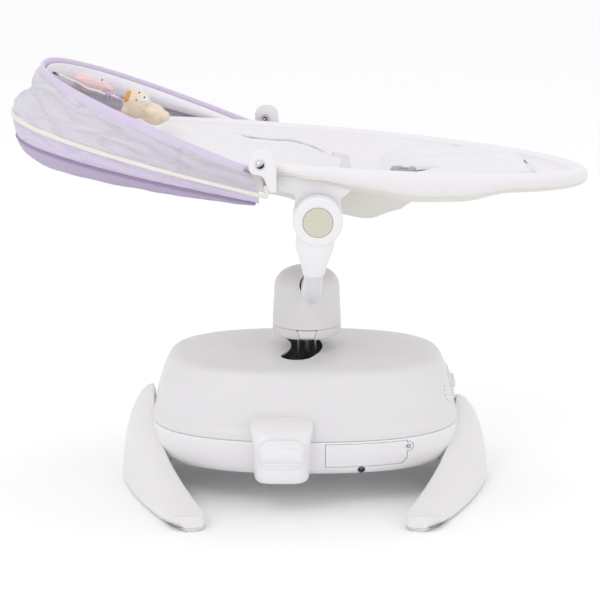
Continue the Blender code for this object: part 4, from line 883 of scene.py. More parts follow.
# Base housing, battery door, panel and keys
def slot_outline(grow):
    """The curved slot for the stem: an arc about the pivot with round ends."""
    half, ends = SLOT_WIDTH / 2 + grow, radians(SLOT_HALF_ANGLE)
    made = []
    for reach, start, stop in ((SWING_RADIUS + half, -ends, ends), (SWING_RADIUS - half, ends, -ends)):
        turns = [start + (stop - start) * k / 32 for k in range(33)]
        made += [(PIVOT[0] + reach * cos(turn), reach * sin(turn)) for turn in turns]
        x, y = PIVOT[0] + SWING_RADIUS * cos(stop), SWING_RADIUS * sin(stop)
        first = stop if reach > SWING_RADIUS else stop + pi
        turns = [first + pi * k / 16 for k in range(1, 16)]
        made += [(x + half * cos(turn), y + half * sin(turn)) for turn in turns]
    return made


SLOT_WIDTH = 0.046
SLOT_HALF_ANGLE = 28.0
DOOR_LOW, DOOR_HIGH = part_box("battery_door")
DOOR_SCREW = middle_of("door_screw")
DOOR_LOBE = 0.0065  # radius of the round boss at the door's screw
DOOR_DEPTH = (-BASE_HALF_DEPTH - 0.01, -0.09)  # from well in front of the housing to well inside it
KEY_GAP = 0.0004
KEY_NAMES = ("power_button", "speed_button", "music_button", "timer_button")
KEYS_Z = middle_of("power_button").z
KEY_RADIUS = (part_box("power_button")[1].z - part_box("power_button")[0].z) / 2
SPEAKER = middle_of("speaker")
JACK = middle_of("dc_jack")
JACK.y = -base_side_y(JACK.x, JACK.z)
SCREW_FACE = (DOOR_SCREW.x, -base_side_y(DOOR_SCREW.x, DOOR_SCREW.z), DOOR_SCREW.z)


def door_outline(grow):
    """The battery door: a rectangle with a cut lower corner and a round lobe for its screw."""
    left, right = DOOR_LOW.x - grow, DOOR_SCREW.x - 0.0025 + grow
    low, high = DOOR_LOW.z - grow, DOOR_HIGH.z + grow
    corner, reach = 0.008, DOOR_LOBE + grow
    half = acos(max(-1.0, min(1.0, (right - DOOR_SCREW.x) / reach)))
    turns = [-half + 2 * half * k / 14 for k in range(15)]
    lobe = [(DOOR_SCREW.x + reach * cos(turn), DOOR_SCREW.z + reach * sin(turn)) for turn in turns]
    return [(left, low), (right - corner, low), (right, low + corner), *lobe, (right, high), (left, high)]


def build_base():
    wall, gap = sizes().shell_wall, sizes().seam
    lip = 0.0009  # the seam's edges turn in this far
    above = [row for row in base_outline() if row[1] > BASE_SEAM_Z + 0.002]
    below = [row for row in base_outline() if row[1] < BASE_SEAM_Z - 0.002]
    at_seam = base_inset(BASE_SEAM_Z)
    upper = [(at_seam + lip, BASE_SEAM_Z + gap), (at_seam + 0.0001, BASE_SEAM_Z + gap + lip), *above]
    lower = [*below, (at_seam + 0.0001, BASE_SEAM_Z - lip), (at_seam + lip, BASE_SEAM_Z)]
    rings = [base_oval(inset, z) for inset, z in upper]
    rings += [shrunk(rings[-1], share) for share in (0.8, 0.6, 0.4, 0.2, 0.0)]
    shell = walled(loft("upper_shell", rings, caps=False), wall)
    cut(shell, plate("slot", slot_outline(0.0), "Z", BASE_HIGH.z - 0.03, BASE_HIGH.z + 0.01))
    bevelled(shell, 0.0007, 2, 50)
    for name in KEY_NAMES:
        cut(shell, rod("key_hole", KEY_RADIUS + KEY_GAP, -0.01, 0.02,
                       (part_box(name)[0].x, middle_of(name).y, KEYS_Z), "X", 32))
    cut(shell, speaker_holes())
    # the upper shell takes the darker copy of the plastic, its tone painted shade
    fitted(shell, "upper_shell", "base", "upper", ["base_upper_shell"])

    rings = [base_oval(inset, z) for inset, z in lower]
    rings = [shrunk(rings[0], share) for share in (0.0, 0.3, 0.6, 0.9)] + rings
    shell = walled(loft("lower_shell", rings, caps=False), wall)
    cut(shell, plate("door_hole", door_outline(0.0007), "Y", *DOOR_DEPTH))
    cut(shell, rod("jack_hole", 0.0056, -0.03, 0.02, JACK, "Y", 40))
    fitted(shell, "lower_shell", "base", "trim", ["base_lower_shell"])


def speaker_holes():
    """Cutters for the arc of small holes in front of the speaker."""
    count = sizes().perforations
    reach = 0.0135
    places = []
    out = Vector((1.0, -0.55, 0.12)).normalized()
    for k in range(count):
        turn = radians(118 + 124 * k / max(1, count - 1))
        y, z = SPEAKER.y + reach * cos(turn), SPEAKER.z + reach * sin(turn)
        x = BASE_MIDDLE.x + base_reach(y, z, BASE_HALF_DEPTH, BASE_HALF_LENGTH)
        places.append((Vector((x, y, z)), out, Vector((0, 0, 1))))
    return repeated("speaker_holes", "holes", places, 0.016, 2 * sizes().perforation, finish("void"))


def build_door():
    door = plate("door", door_outline(0.0), "Y", *DOOR_DEPTH)
    combine(door, base_form(), "INTERSECT")
    cut(door, base_form(-sizes().shell_wall))
    bevelled(door, 0.0004, 2, 45)
    cut(door, rod("screw_seat", 0.004, -0.02, 0.0011, SCREW_FACE, "Y", 48))
    fitted(door, "door_skin", "door", "trim", ["battery_door"])
    head = turned("screw_head", disc_profile(0.0031, 0.0004, 0.003, 0.0005), SCREW_FACE, "Y", 48)
    for turn in (0.0, pi / 2):
        arm = plate("cross", oval(0.002, 0.00042, 6, 24), "Y", SCREW_FACE[1] - 0.002, SCREW_FACE[1] + 0.0014)
        arm.data.transform(Matrix.Rotation(turn + 0.3, 4, "Y"))
        arm.data.transform(Matrix.Translation((DOOR_SCREW.x, 0, DOOR_SCREW.z)))
        cut(head, arm)
    fitted(head, "screw_head", "door", "steel", ["door_screw"])

    rim = [(0.0036, 0.0016), (0.0036, 0.011), (0.0054, 0.011), (0.0054, 0.001), (0.005, 0.0004), (0.004, 0.0004)]
    fitted(turned("socket_rim", rim, JACK, "Y", 48), "socket_rim", "base", "dark", ["dc_jack"])
    floor = turned("socket_pin", [(0, 0.004), (0.0009, 0.0044), (0.001, 0.01), (0.0037, 0.01), (0.0037, 0.0108),
                                  (0, 0.0108)], JACK, "Y", 32)
    fitted(floor, "socket_pin", "base", "steel")


def build_panel():
    low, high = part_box("control_panel")
    middle = (low + high) / 2
    half_y, half_z = (high.y - low.y) / 2, (high.z - low.z) / 2
    plan = [(y, z + middle.z) for y, z in oval(half_y, half_z, 3, 96)]
    panel = plate("panel", plan, "X", high.x - 0.03, high.x + 0.02)
    combine(panel, base_form(0.0018), "INTERSECT")
    cut(panel, base_form(-0.0004))
    bevelled(panel, 0.0006, 3, 45)
    for name in KEY_NAMES:
        cut(panel, rod("key_hole", KEY_RADIUS + KEY_GAP, -0.02, 0.02, middle_of(name), "X", 40))
    fitted(panel, "panel_face", "base", "pillar", ["control_panel"])
    for name in KEY_NAMES:
        at = middle_of(name)
        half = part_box(name)[1].x - at.x
        profile = disc_profile(KEY_RADIUS, -half, half, 0.0009)
        profile[-1] = (0.0, half - 0.0005)
        profile.insert(-1, (KEY_RADIUS * 0.55, half - 0.0004))
        body = "key_" + name.split("_")[0]
        fitted(turned("cap", profile, at, "X", 40), name + "_cap", body, "shell", [name])
        build_key_mark(name, body, at, half)


def build_key_mark(name, body, at, half):
    """A plain raised mark on each key: a ring, two bars, a dot or a short bar."""
    marks = {"power_button": (0.0019, 0.0011), "timer_button": (0.0016, 0.001)}
    face = at.x + half - 0.0006
    if name in marks:
        outer, inner = marks[name]
        ring = [(inner, 0.0), (inner, 0.0005), (outer, 0.0005), (outer, 0.0)]
        mark = turned("mark", ring, (face, at.y, at.z), "X", 32)
    else:
        width = 0.0004 if name == "music_button" else 0.0016
        bars = [plate("mark", [(at.y + shift + u * width, at.z + v * 0.0014) for u, v in
                               ((-1, -1), (1, -1), (1, 1), (-1, 1))], "X", face, face + 0.0005)
                for shift in ((-0.0009, 0.0009) if name == "music_button" else (0.0,))]
        mark = joined("mark", *bars)
    fitted(mark, name + "_mark", body, "buckle")


def build_blocks():
    """The two side blocks and their ridged grip pads."""
    low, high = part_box("side_block_near")
    middle_x, half = (low.x + high.x) / 2, (high.x - low.x) / 2
    reach, top = -low.y, high.z
    # share of the block's height, half-width against the widest, and how far it stands back from its front
    sections = ((0.0, 0.6, 0.014), (0.03, 0.7, 0.0055), (0.09, 0.755, 0.0012), (0.22, 0.775, 0.0), (0.45, 0.775, 0.0),
                (0.62, 0.8, 0.0004), (0.72, 0.835, 0.003), (0.82, 0.87, 0.0095), (0.9, 0.87, 0.0185),
                (0.96, 0.82, 0.0285), (1.0, 0.7, 0.04))
    rows = smooth_line([(share * (top - low.z) + low.z, wide * half, back) for share, wide, back in sections], 5)
    for side, sign in SIDES:
        rings = []
        for z, wide, back in rows:
            half_deep = (reach - back - 0.1) / 2
            plan = oval(wide, half_deep, 4.2, 96, (middle_x, half_deep + 0.1))
            rings.append([Vector((x, sign * y, z)) for x, y in plan])
        fitted(loft("block", rings), f"block_{side}", "base", "trim", [f"side_block_{side}"])
        build_grip(side, sign)


def build_grip(side, sign):
    """A grip pad: a rounded cushion of plastic, stepped by ridges above and below its swelling middle."""
    low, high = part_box(f"side_pad_{side}")
    middle = (low + high) / 2
    half_x, half_z = (high.x - low.x) / 2, (high.z - low.z) / 2
    back = min(abs(low.y), abs(high.y)) - 0.0012
    deep = max(abs(low.y), abs(high.y)) - back
    # height as a share of the half-height, and how far forward the face stands there
    face = ((-1.0, 0.3), (-0.8, 0.4), (-0.72, 0.28), (-0.66, 0.46), (-0.54, 0.58), (-0.47, 0.46), (-0.38, 0.78),
            (-0.1, 1.0), (0.2, 0.98), (0.42, 0.86), (0.5, 0.66), (0.56, 0.72), (0.7, 0.66), (0.76, 0.44),
            (0.84, 0.5), (1.0, 0.36))
    count, steps = 128, 26
    rings = []
    for k in range(steps + 1):
        inward = sin(pi / 2 * k / steps)
        shrink = 1 - 0.999 * (k / steps) ** 1.15
        edge = (1 - (1 - inward) ** 2.4) if k < steps else 1.0
        ring = []
        for u, v in oval(shrink, shrink, 3.4, count):
            out = back + deep * min(1.0, edge * 1.9) * read_off(face, v)
            ring.append(Vector((middle.x + half_x * u, sign * out, middle.z + half_z * v)))
        rings.append(ring)
    rings.insert(0, [Vector((p.x, sign * (back - 0.001), p.z)) for p in rings[0]])
    fitted(loft("grip", rings), f"grip_{side}", "base", "trim", [f"side_pad_{side}"])


# Legs
LEG_CURVE = (0.657, 1.434)  # inward run of a leg's outer edge: factor and power of |y|
LEG_DROP = (0.2358, 0.441)  # fall of its top edge: factor and power of |y|
LEG_WIDTH = 0.05
LEG_HALF_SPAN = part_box("leg_pad_head_far")[1].y
PAD_LENGTH = LEG_HALF_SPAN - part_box("leg_pad_head_far")[0].y
PAD_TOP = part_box("leg_pad_head_far")[1].z
LEG_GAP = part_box("leg_head_end")[0].z  # the leg's hard underside stands this far off the floor


def leg_ring(y, sign, floor=LEG_GAP, count=30):
    """A leg's cross-section at y: an upright inner side and a bulging outer side."""
    span = max(abs(y), 0.0006)
    full_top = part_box("leg_head_end")[1].z
    outer = LEG_REACH - LEG_CURVE[0] * span ** LEG_CURVE[1]
    top = full_top - LEG_DROP[0] * (span * span / (span + 0.006)) ** LEG_DROP[1]
    if sign > 0:
        foot_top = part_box("leg_foot_end")[1].z
        top = foot_top - log1p(exp(min(40.0, (foot_top - top) / 0.004))) * 0.004 if top > foot_top - 0.03 else top
    nose = min(1.0, max(0.0, (span - (LEG_HALF_SPAN - PAD_LENGTH)) / PAD_LENGTH))
    narrow = (1 - nose ** 3.6) ** 0.5
    width = max(0.004, LEG_WIDTH * narrow)
    outer -= (LEG_WIDTH - width) * 0.32
    top = floor + (top - floor) * (0.25 + 0.75 * narrow)
    inner = outer - width
    low = 0.004 + 0.017 * max(nose, min(1.0, span / LEG_HALF_SPAN) ** 6 * 0.7)
    row = [(inner - 0.001, floor + 0.002), (inner - 0.003, floor + (top - floor) * 0.3),
           (inner - 0.0022, floor + (top - floor) * 0.7), (inner - 0.0005, floor + (top - floor) * 0.93)]
    for k in range(count):
        turn = pi / 2 * k / (count - 1)
        row.append((inner + 0.003 + (width - 0.003) * sin(turn) ** 1.05,
                    floor + low + max(0.0, top - floor - low) * cos(turn) ** 1.05))
    for k in range(1, 8):
        turn = pi / 2 * k / 8
        row.append((outer - min(low, width * 0.4) * (1 - cos(turn)), floor + low * (1 - sin(turn))))
    row += [(outer - min(low, width * 0.4) - 0.001, floor), (inner + 0.002, floor)]
    return [Vector((BASE_MIDDLE.x + sign * x, y, z)) for x, z in row]


LEG_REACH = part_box("leg_foot_end")[1].x - BASE_MIDDLE.x


def build_legs():
    pad_start = LEG_HALF_SPAN - PAD_LENGTH
    stations = [LEG_HALF_SPAN * (1 - cos(pi / 2 * k / 56)) ** 0.9 for k in range(57)]
    stations += [LEG_HALF_SPAN - 0.01 * share ** 2 for share in (0.1, 0.2, 0.35, 0.5, 0.75)]
    stations = sorted([*stations, pad_start, pad_start + 0.0003])
    spans = [-y for y in reversed(stations[1:])] + stations
    for end, sign in (("head", -1), ("foot", 1)):
        rings = []
        for y in spans:
            floor = PAD_TOP if abs(y) > pad_start + 0.0001 else 0.0
            rings.append([Vector((p.x, p.y, max(p.z, floor))) for p in leg_ring(y, sign)])
        fitted(loft("leg", rings), f"leg_{end}", "base", "shell", [f"leg_{end}_end"])
        for side, way in SIDES:
            reach = [y for y in stations if y > pad_start + 0.0001]
            rings = [[Vector((p.x, p.y, min(p.z, PAD_TOP - 0.0003))) for p in leg_ring(way * y, sign, 0.0)]
                     for y in reach]
            fitted(loft("pad", rings), f"foot_{end}_{side}", "base", "pad", [f"leg_pad_{end}_{side}"])


# Pillar, fork, boots and brackets
RING_LOW, RING_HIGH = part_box("pillar_ring")
COVER_LOW, COVER_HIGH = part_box("pillar_cover")
PILLAR_RADIUS = (RING_HIGH.x - RING_LOW.x) / 2
PILLAR_WALL = 0.0035
FORK_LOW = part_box("fork_tube")[0]
FORK_RADIUS = 0.013
FORK_AXIS = Vector((FORK_LOW.x + FORK_RADIUS, 0, FORK_LOW.z + FORK_RADIUS))
FORK_BEND = 0.115
FORK_SWEEP = 78.0
BOOT_LOW, BOOT_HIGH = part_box("boot_far")
BOOT_RADIUS = BOOT_HIGH.z - HINGE.z
BOOT_DEEP = 0.0305
HINGE_AXIS = (HINGE.x, 0, HINGE.z)
BUTTON_RADIUS = (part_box("recline_button_far")[1].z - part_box("recline_button_far")[0].z) / 2


def latch_outline(grow):
    low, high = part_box("release_latch")
    top, foot = (high.x - low.x) / 2 + grow, (high.x - low.x) / 2 * 0.68 + grow
    return [(PILLAR.x - foot, low.z - 0.002), (PILLAR.x + foot, low.z - 0.002), (PILLAR.x + top, COVER_LOW.z - 0.0003),
            (PILLAR.x - top, COVER_LOW.z - 0.0003)]


def build_pillar():
    crown = 0.03  # height of the rounded top
    top_radius = PILLAR_RADIUS - 0.0025
    turns = [pi / 2 * k / 24 for k in range(1, 25)]
    foot = COVER_LOW.z
    profile = [(0.0, COVER_HIGH.z),
               *((top_radius * sin(turn) ** 0.8, COVER_HIGH.z - crown * (1 - cos(turn))) for turn in turns),
               (top_radius + 0.0012, foot + 0.03), (PILLAR_RADIUS - 0.0003, foot + 0.008),
               (PILLAR_RADIUS, foot + 0.0008), (PILLAR_RADIUS - 0.0006, foot), (PILLAR_RADIUS - PILLAR_WALL, foot),
               (top_radius - PILLAR_WALL, COVER_HIGH.z - crown),
               (top_radius * 0.7, COVER_HIGH.z - PILLAR_WALL - 0.009), (0.0, COVER_HIGH.z - PILLAR_WALL)]
    cover = turned("cover", profile, (PILLAR.x, 0, 0), "Z", 128)
    cut(cover, rod("fork_hole", FORK_RADIUS + 0.0016, -0.07, 0.07, (FORK_AXIS.x - 0.0006, 0, FORK_AXIS.z), "Y", 64))
    fitted(cover, "pillar_shell", "swing", "pillar", ["pillar_cover"], 30)

    inner, top, low = PILLAR_RADIUS - PILLAR_WALL, RING_HIGH.z - 0.0001, RING_LOW.z
    profile = [(inner, top), (PILLAR_RADIUS - 0.0006, top), (PILLAR_RADIUS, top - 0.0006),
               (PILLAR_RADIUS, low + 0.0035), (PILLAR_RADIUS - 0.0012, low + 0.0011), (PILLAR_RADIUS - 0.0034, low),
               (0.0, low), (0.0, low + PILLAR_WALL), (inner, low + PILLAR_WALL)]
    ring = turned("ring", profile, (PILLAR.x, 0, 0), "Z", 128)
    cut(ring, plate("latch_hole", latch_outline(0.0005), "Y", -PILLAR.x - 0.08, -PILLAR_RADIUS + 0.0095))
    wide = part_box("release_latch")[1].x - middle_of("release_latch").x
    for way in (-1, 1):
        cut(ring, rod("relief", 0.0011, -0.02, 0.01, (PILLAR.x + way * (wide + 0.0004), -PILLAR_RADIUS, top - 0.0006),
                      "Y", 24))
    fitted(ring, "ring_skin", "swing", "pillar", ["pillar_ring"], 30)
    latch = plate("latch", latch_outline(0.0), "Y", -PILLAR_RADIUS - 0.02, -PILLAR_RADIUS + 0.0095)
    drum = turned("drum", [(0, low + 0.0004), (PILLAR_RADIUS - 0.003, low + 0.0004), (PILLAR_RADIUS, low + 0.0035),
                           (PILLAR_RADIUS, top - 0.0005), (0, top - 0.0005)], (PILLAR.x, 0, 0), "Z", 128)
    combine(latch, drum, "INTERSECT")
    cut(latch, rod("bore", inner, low - 0.01, top + 0.01, (PILLAR.x, 0, 0)))
    bevelled(latch, 0.0004, 2, 45)
    fitted(latch, "latch_face", "latch", "pillar", ["release_latch"])


def fork_side(sign, steps=28):
    """The fork's middle line on one side, from the pillar out and up into the boot."""
    end = BOOT_HIGH.y - BOOT_DEEP / 2
    start = end - FORK_BEND
    made = [Vector((FORK_AXIS.x, sign * start * share, FORK_AXIS.z)) for share in (0.25, 0.5, 0.75, 1.0)]
    for k in range(1, steps + 1):
        turn = radians(FORK_SWEEP) * k / steps
        lean = (HINGE.x - 0.004 - FORK_AXIS.x) * k / steps
        made.append(Vector((FORK_AXIS.x + lean, sign * (start + FORK_BEND * sin(turn)),
                            FORK_AXIS.z + FORK_BEND * (1 - cos(turn)))))
    return made


def build_fork():
    line = [*reversed(fork_side(-1)), Vector((FORK_AXIS.x, 0, FORK_AXIS.z)), *fork_side(1)]
    fitted(sweep("bar", line, FORK_RADIUS, 40), "fork_bar", "swing", "tube", ["fork_tube"])
    for side, sign in SIDES:
        build_boot(side, sign)


def build_boot(side, sign):
    """The boot over the end of the fork: a round head that runs down into a sleeve."""
    faces = sorted((sign * BOOT_HIGH.y, sign * (BOOT_HIGH.y - BOOT_DEEP)))
    head = turned("head", disc_profile(BOOT_RADIUS, *faces, 0.0045, 8), HINGE_AXIS, "Y", 96)
    line = [p for p in fork_side(sign) if p.z > BOOT_LOW.z + 0.0035]
    line.append(Vector((HINGE.x - 0.002, line[-1].y, HINGE.z - 0.012)))
    line.append(Vector((HINGE.x, line[-1].y, HINGE.z + 0.004)))
    rings = []
    across = Vector((1, 0, 0))
    for k, (point, along, _, _) in enumerate(frames_along(line)):
        out = along.cross(across).normalized()
        share = k / (len(line) - 1)
        swell = share * share * (3 - 2 * share)
        half_x, half_y = 0.016 + 0.0115 * swell, 0.0156 - 0.001 * share
        rings.append([point + across * u + out * v for u, v in oval(half_x, half_y, 2.7, 64)])
    boot = join(head, loft("sleeve", rings))
    melted(boot, 0.0011, 14)
    cut(boot, sweep("bore", fork_side(sign), FORK_RADIUS + 0.0003, 40))
    spread = sorted((sign * (BOOT_HIGH.y + 0.02), sign * (BOOT_HIGH.y - 0.009)))
    cut(boot, rod("recess", BUTTON_RADIUS + 0.0005, *spread, HINGE_AXIS, "Y"))
    fitted(boot, f"boot_skin_{side}", "swing", "trim", [f"boot_{side}"], 45)
    face = sign * farthest(f"recline_button_{side}")
    disc = turned("disc", disc_profile(BUTTON_RADIUS, *sorted((face, face - sign * 0.005)), 0.0009), HINGE_AXIS, "Y")
    fitted(disc, f"press_disc_{side}", f"disc_{side}", "disc", [f"recline_button_{side}"])


def build_brackets():
    """The seat's brackets: each flares from the round hinge boss up to the seat frame in two hollow curves."""
    low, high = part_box("bracket_far")
    left, right, top, boss = low.x, high.x, high.z, BOOT_RADIUS
    flanks = ([(left, top), (left, top - 0.02), (left + 0.007, top - 0.026), (HINGE.x - boss * 0.92, HINGE.z + 0.03),
               (HINGE.x - boss * 0.985, HINGE.z + 0.006)],
              [(HINGE.x + boss * 0.985, HINGE.z + 0.004), (HINGE.x + boss * 0.92, HINGE.z + 0.024),
               (right - 0.006, top - 0.03), (right, top - 0.022), (right, top - 0.006)])
    left_curve, right_curve = ([(p.x, p.y) for p in smooth_line([(u, v, 0) for u, v in flank], 8)] for flank in flanks)
    turns = [radians(190 + 160 * k / 30) for k in range(1, 30)]
    arc = [(HINGE.x + boss * cos(turn), HINGE.z + boss * sin(turn)) for turn in turns]
    outline = left_curve + arc + right_curve
    for side, sign in SIDES:
        outer = sign * high.y
        thin = sorted((outer, outer - sign * 0.008))
        body = bevelled(plate("web", outline, "Y", *thin), 0.0016, 3, 30)
        deep = sorted((outer, outer - sign * 0.022))
        join(body, turned("boss", disc_profile(boss, *deep, 0.0022), HINGE_AXIS, "Y", 96))
        fitted(body, f"bracket_skin_{side}", "seat", "trim", [f"bracket_{side}"], 35)


# Seat
SEAT_LOW, SEAT_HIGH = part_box("seat_cover")
SEAT_LENGTHS = (-SEAT_LOW.x, SEAT_HIGH.x)  # towards the head and towards the foot
SEAT_WIDE = SEAT_HIGH.y
SEAT_RIM_Z, SEAT_SLOPE, SEAT_MIDDLE_X = 0.5, 0.075, 0.06
SEAT_INSIDE = ((-0.375, 0.518), (-0.2, 0.487), (-0.03, 0.452), (0.06, 0.424), (0.11, 0.426),
               (0.17, 0.452), (0.3, 0.462), (0.414, 0.459))
SEAT_UNDERSIDE = ((-0.375, 0.505), (-0.2, 0.47), (-0.03, 0.43), (0.03, 0.408), (0.1, 0.396),
                  (0.14, 0.408), (0.17, 0.43), (0.3, 0.449), (0.414, 0.446))
SEAT_HEM = ((-0.375, 0.028), (-0.12, 0.024), (-0.055, 0.016), (-0.02, 0.015), (0.02, 0.021),
            (0.085, 0.032), (0.16, 0.042), (0.22, 0.04), (0.3, 0.027), (0.414, 0.026))


def rim_point(turn, inset=0.0):
    """A point of the seat's outline in plan, moved in square to the outline, and the rim's height there."""
    def on_line(at):
        foot = cos(at) > 0
        exponent = 1.95 if foot else 2.2
        return Vector((SEAT_LENGTHS[foot] * power(cos(at), 2 / exponent), SEAT_WIDE * power(sin(at), 2 / exponent), 0))
    along = (on_line(turn + 0.02) - on_line(turn - 0.02)).normalized()
    point = on_line(turn) + Vector((-along.y, along.x, 0)) * inset
    return point, SEAT_RIM_Z - SEAT_SLOPE * on_line(turn).x


def at_rim(turn, inset, drop, ripple=0.0):
    spot, rim = rim_point(turn, inset + ripple)
    return Vector((spot.x, spot.y, rim - drop))


def hammock(turn, share, table, below):
    """A point of the seat's bag, at a share of the way from its middle out to the rim."""
    edge, rim = rim_point(turn, 0.03)
    spot = Vector((SEAT_MIDDLE_X, 0, 0)).lerp(edge, share)
    bottom = read_off(table, spot.x)
    return Vector((spot.x, spot.y, bottom + (rim - below - bottom) * share ** 2.6))


def hem_at(x, least=0.014):
    """How far the hem hangs down."""
    return max(least, read_off(SEAT_HEM, x))


def hem_inset(share):
    """How far in the hem's face stands, at a share of the way down it."""
    return 0.0002 + 0.0135 * abs(2 * share - 1) ** 3.2


def rippled(point, pitch, seed=0.0):
    return noise.noise(point * pitch + Vector((seed, seed * 0.7, -seed)))


def build_seat():
    turns = full_turn(288)
    shares = [0.012, 0.06, 0.13, 0.22, 0.31, 0.4, 0.5, 0.6, 0.7, 0.79, 0.87, 0.94]
    rings = [[hammock(turn, share, SEAT_INSIDE, 0.008) for turn in turns] for share in shares]
    # the padded roll over the hoop: (share of the hem's height, how far in)
    for inset, drop in ((0.033, 0.0088), (0.0285, 0.0052), (0.024, 0.0026), (0.0195, 0.0008), (0.015, 0.0)):
        rings.append([at_rim(turn, inset, drop) for turn in turns])
    for step in range(1, 22):
        share = (1 - cos(pi * step / 22)) / 2
        ring = []
        for turn in turns:
            start, _ = rim_point(turn)
            wave = 0.0007 * rippled(start, 34.0) + 0.0005 * rippled(start, 90.0, 4.0) + 0.0007
            ring.append(at_rim(turn, hem_inset(share) + wave * sin(pi * share), hem_at(start.x) * share))
        rings.append(ring)
    for inset, raised in ((0.016, 0.0), (0.02, 0.0012), (0.024, 0.003)):
        rings.append([at_rim(turn, inset, hem_at(rim_point(turn)[0].x, 0.012) - raised) for turn in turns])
    for share in (0.985, 0.95, 0.9, 0.84, 0.76, 0.66, 0.55, 0.44, 0.33, 0.22, 0.12, 0.04, 0.01):
        ring = []
        for turn in turns:
            spot = hammock(turn, share, SEAT_UNDERSIDE, 0.0175)
            spot.z += 0.0012 * rippled(spot, 30.0, 9.0) * (1 - share)
            ring.append(spot)
        rings.append(ring)
    fitted(loft("cover", rings), "seat_skin", "seat", "seat", ["seat_cover"], 70)
    for side, sign in SIDES:
        line = []
        for k in range(60):
            x = 0.0875 - 0.1165 * k / 59
            share = 0.62 + 0.22 * k / 59
            line.append(at_rim(rim_turn_at(x, sign), hem_inset(share), hem_at(x) * share))
        fitted(sweep("ridge", line, 0.0011, 10), f"hem_ridge_{side}", "seat", "piping")
    edge = [at_rim(turn, hem_inset(0.8), 0.8 * hem_at(rim_point(turn)[0].x)) for turn in turns]
    seam("hem_stitches", edge, seat_outward, "seat", "seat_fabric", closed=True)
    roll_line = [at_rim(turn, 0.0288, 0.0053) for turn in turns]
    seam("rim_stitches", roll_line, lambda point: Vector((0, 0, 1)), "seat", "seat_fabric", closed=True)
    line = [at_rim(turn, 0.0125, 0.0115) for turn in full_turn(160)]
    fitted(sweep("bar", line, 0.0056, 20, True), "seat_hoop", "seat", "tube", ["seat_frame"])


def rim_turn_at(x, sign):
    """The turn at which the seat's outline passes a distance along it."""
    low, high = 0.0, pi
    for _ in range(40):
        middle = (low + high) / 2
        if rim_point(middle)[0].x > x:
            low = middle
        else:
            high = middle
    return sign * low


def seat_outward(point):
    return Vector((point.x * 0.24 if abs(point.x) > 0.2 else point.x * 0.08, point.y, 0)).normalized()


def swollen(made, frames, pressure, cap):
    """Swells a closed form under pressure and keeps each point within a cap of where it began."""
    start = [vertex.co.copy() for vertex in made.data.vertices]
    cloth = made.modifiers.new("swell", "CLOTH")
    for key, value in {"quality": 5, "mass": 0.15, "tension_stiffness": 30, "compression_stiffness": 12,
                       "shear_stiffness": 10, "bending_stiffness": 0.8, "use_pressure": True,
                       "uniform_pressure_force": pressure}.items():
        setattr(cloth.settings, key, value)
    cloth.settings.effector_weights.gravity = 0.0
    cloth.collision_settings.use_collision = cloth.collision_settings.use_self_collision = False
    cloth.point_cache.frame_start, cloth.point_cache.frame_end = 1, frames
    scene = bpy.context.scene
    for k in range(1, frames + 1):
        scene.frame_set(k)
    as_mesh(made)
    scene.frame_set(1)
    for vertex, was in zip(made.data.vertices, start):
        step = vertex.co - was
        if step.length > cap:
            vertex.co = was + step.normalized() * cap
    return made


LINER_MIDDLE_X, LINER_HALF_LENGTH, LINER_HALF_WIDTH = 0.02, 0.318, 0.142


def build_liner():
    """The padded liner that lies in the seat's hammock: quilted in channels, swollen under pressure."""
    loft_height, rise = sizes().liner_loft, sizes().liner_rise
    columns, rows = 46, 96
    rings = []
    for i in range(rows + 1):
        along = -1 + 2 * i / rows
        x = LINER_MIDDLE_X + LINER_HALF_LENGTH * along
        wide = max(0.012, LINER_HALF_WIDTH * max(0.0, 1 - abs(along) ** 4.5) ** (1 / 3.2))
        upper, lower = [], []
        for j in range(columns + 1):
            across = -1 + 2 * j / columns
            y = wide * across
            z = seat_floor(x, y) + 0.0012
            edge = min(1.0, (1 - abs(across)) * wide / 0.014, (1 - abs(along)) * LINER_HALF_LENGTH / 0.014)
            lower.append(Vector((x, y, z)))
            upper.append(Vector((x, y, z + 0.0008 + loft_height * max(0.0, edge) ** 0.5)))
        rings.append(upper + list(reversed(lower)))
    pad = modified(loft("pad", rings), "REMESH", mode="VOXEL", voxel_size=0.0052)
    swollen(pad, 20, 4.0, rise)
    for vertex in pad.data.vertices:
        spot = vertex.co
        floor = seat_floor(spot.x, spot.y)
        spot.z = max(spot.z, floor + 0.001)
        lift = min(1.0, max(0.0, (spot.z - floor - 0.003) / 0.006))
        groove = sum(exp(-((spot.y - channel * (1 - 0.25 * abs(spot.x))) / 0.0055) ** 2)
                     for channel in (-0.07, 0.0, 0.07))
        groove += 0.8 * sum(exp(-((spot.x - channel) / 0.006) ** 2) for channel in (-0.205, -0.075, 0.115, 0.235))
        spot.z -= lift * min(1.0, groove) * 0.0046
        spot.z += lift * rise * 0.175 * rippled(spot, 28.0, 2.0)
        spot.z -= lift * 0.0075 * exp(-(((spot.x - 0.149) / 0.034) ** 2 + (spot.y / 0.03) ** 2) ** 2)
    modified(pad, "SMOOTH", factor=0.45, iterations=3)
    modified(pad, "SUBSURF", levels=1, render_levels=1)
    fitted(pad, "seat_liner", "seat", "liner", sharp=180)
    edge = []
    for turn in full_turn(220):
        x, y = LINER_MIDDLE_X + 0.312 * power(cos(turn), 0.62), 0.138 * power(sin(turn), 0.62)
        edge.append(Vector((x, y, seat_floor(x, y) + 0.0034)))
    fitted(sweep("edge", edge, 0.0021, 10, True), "liner_binding", "seat", "liner")


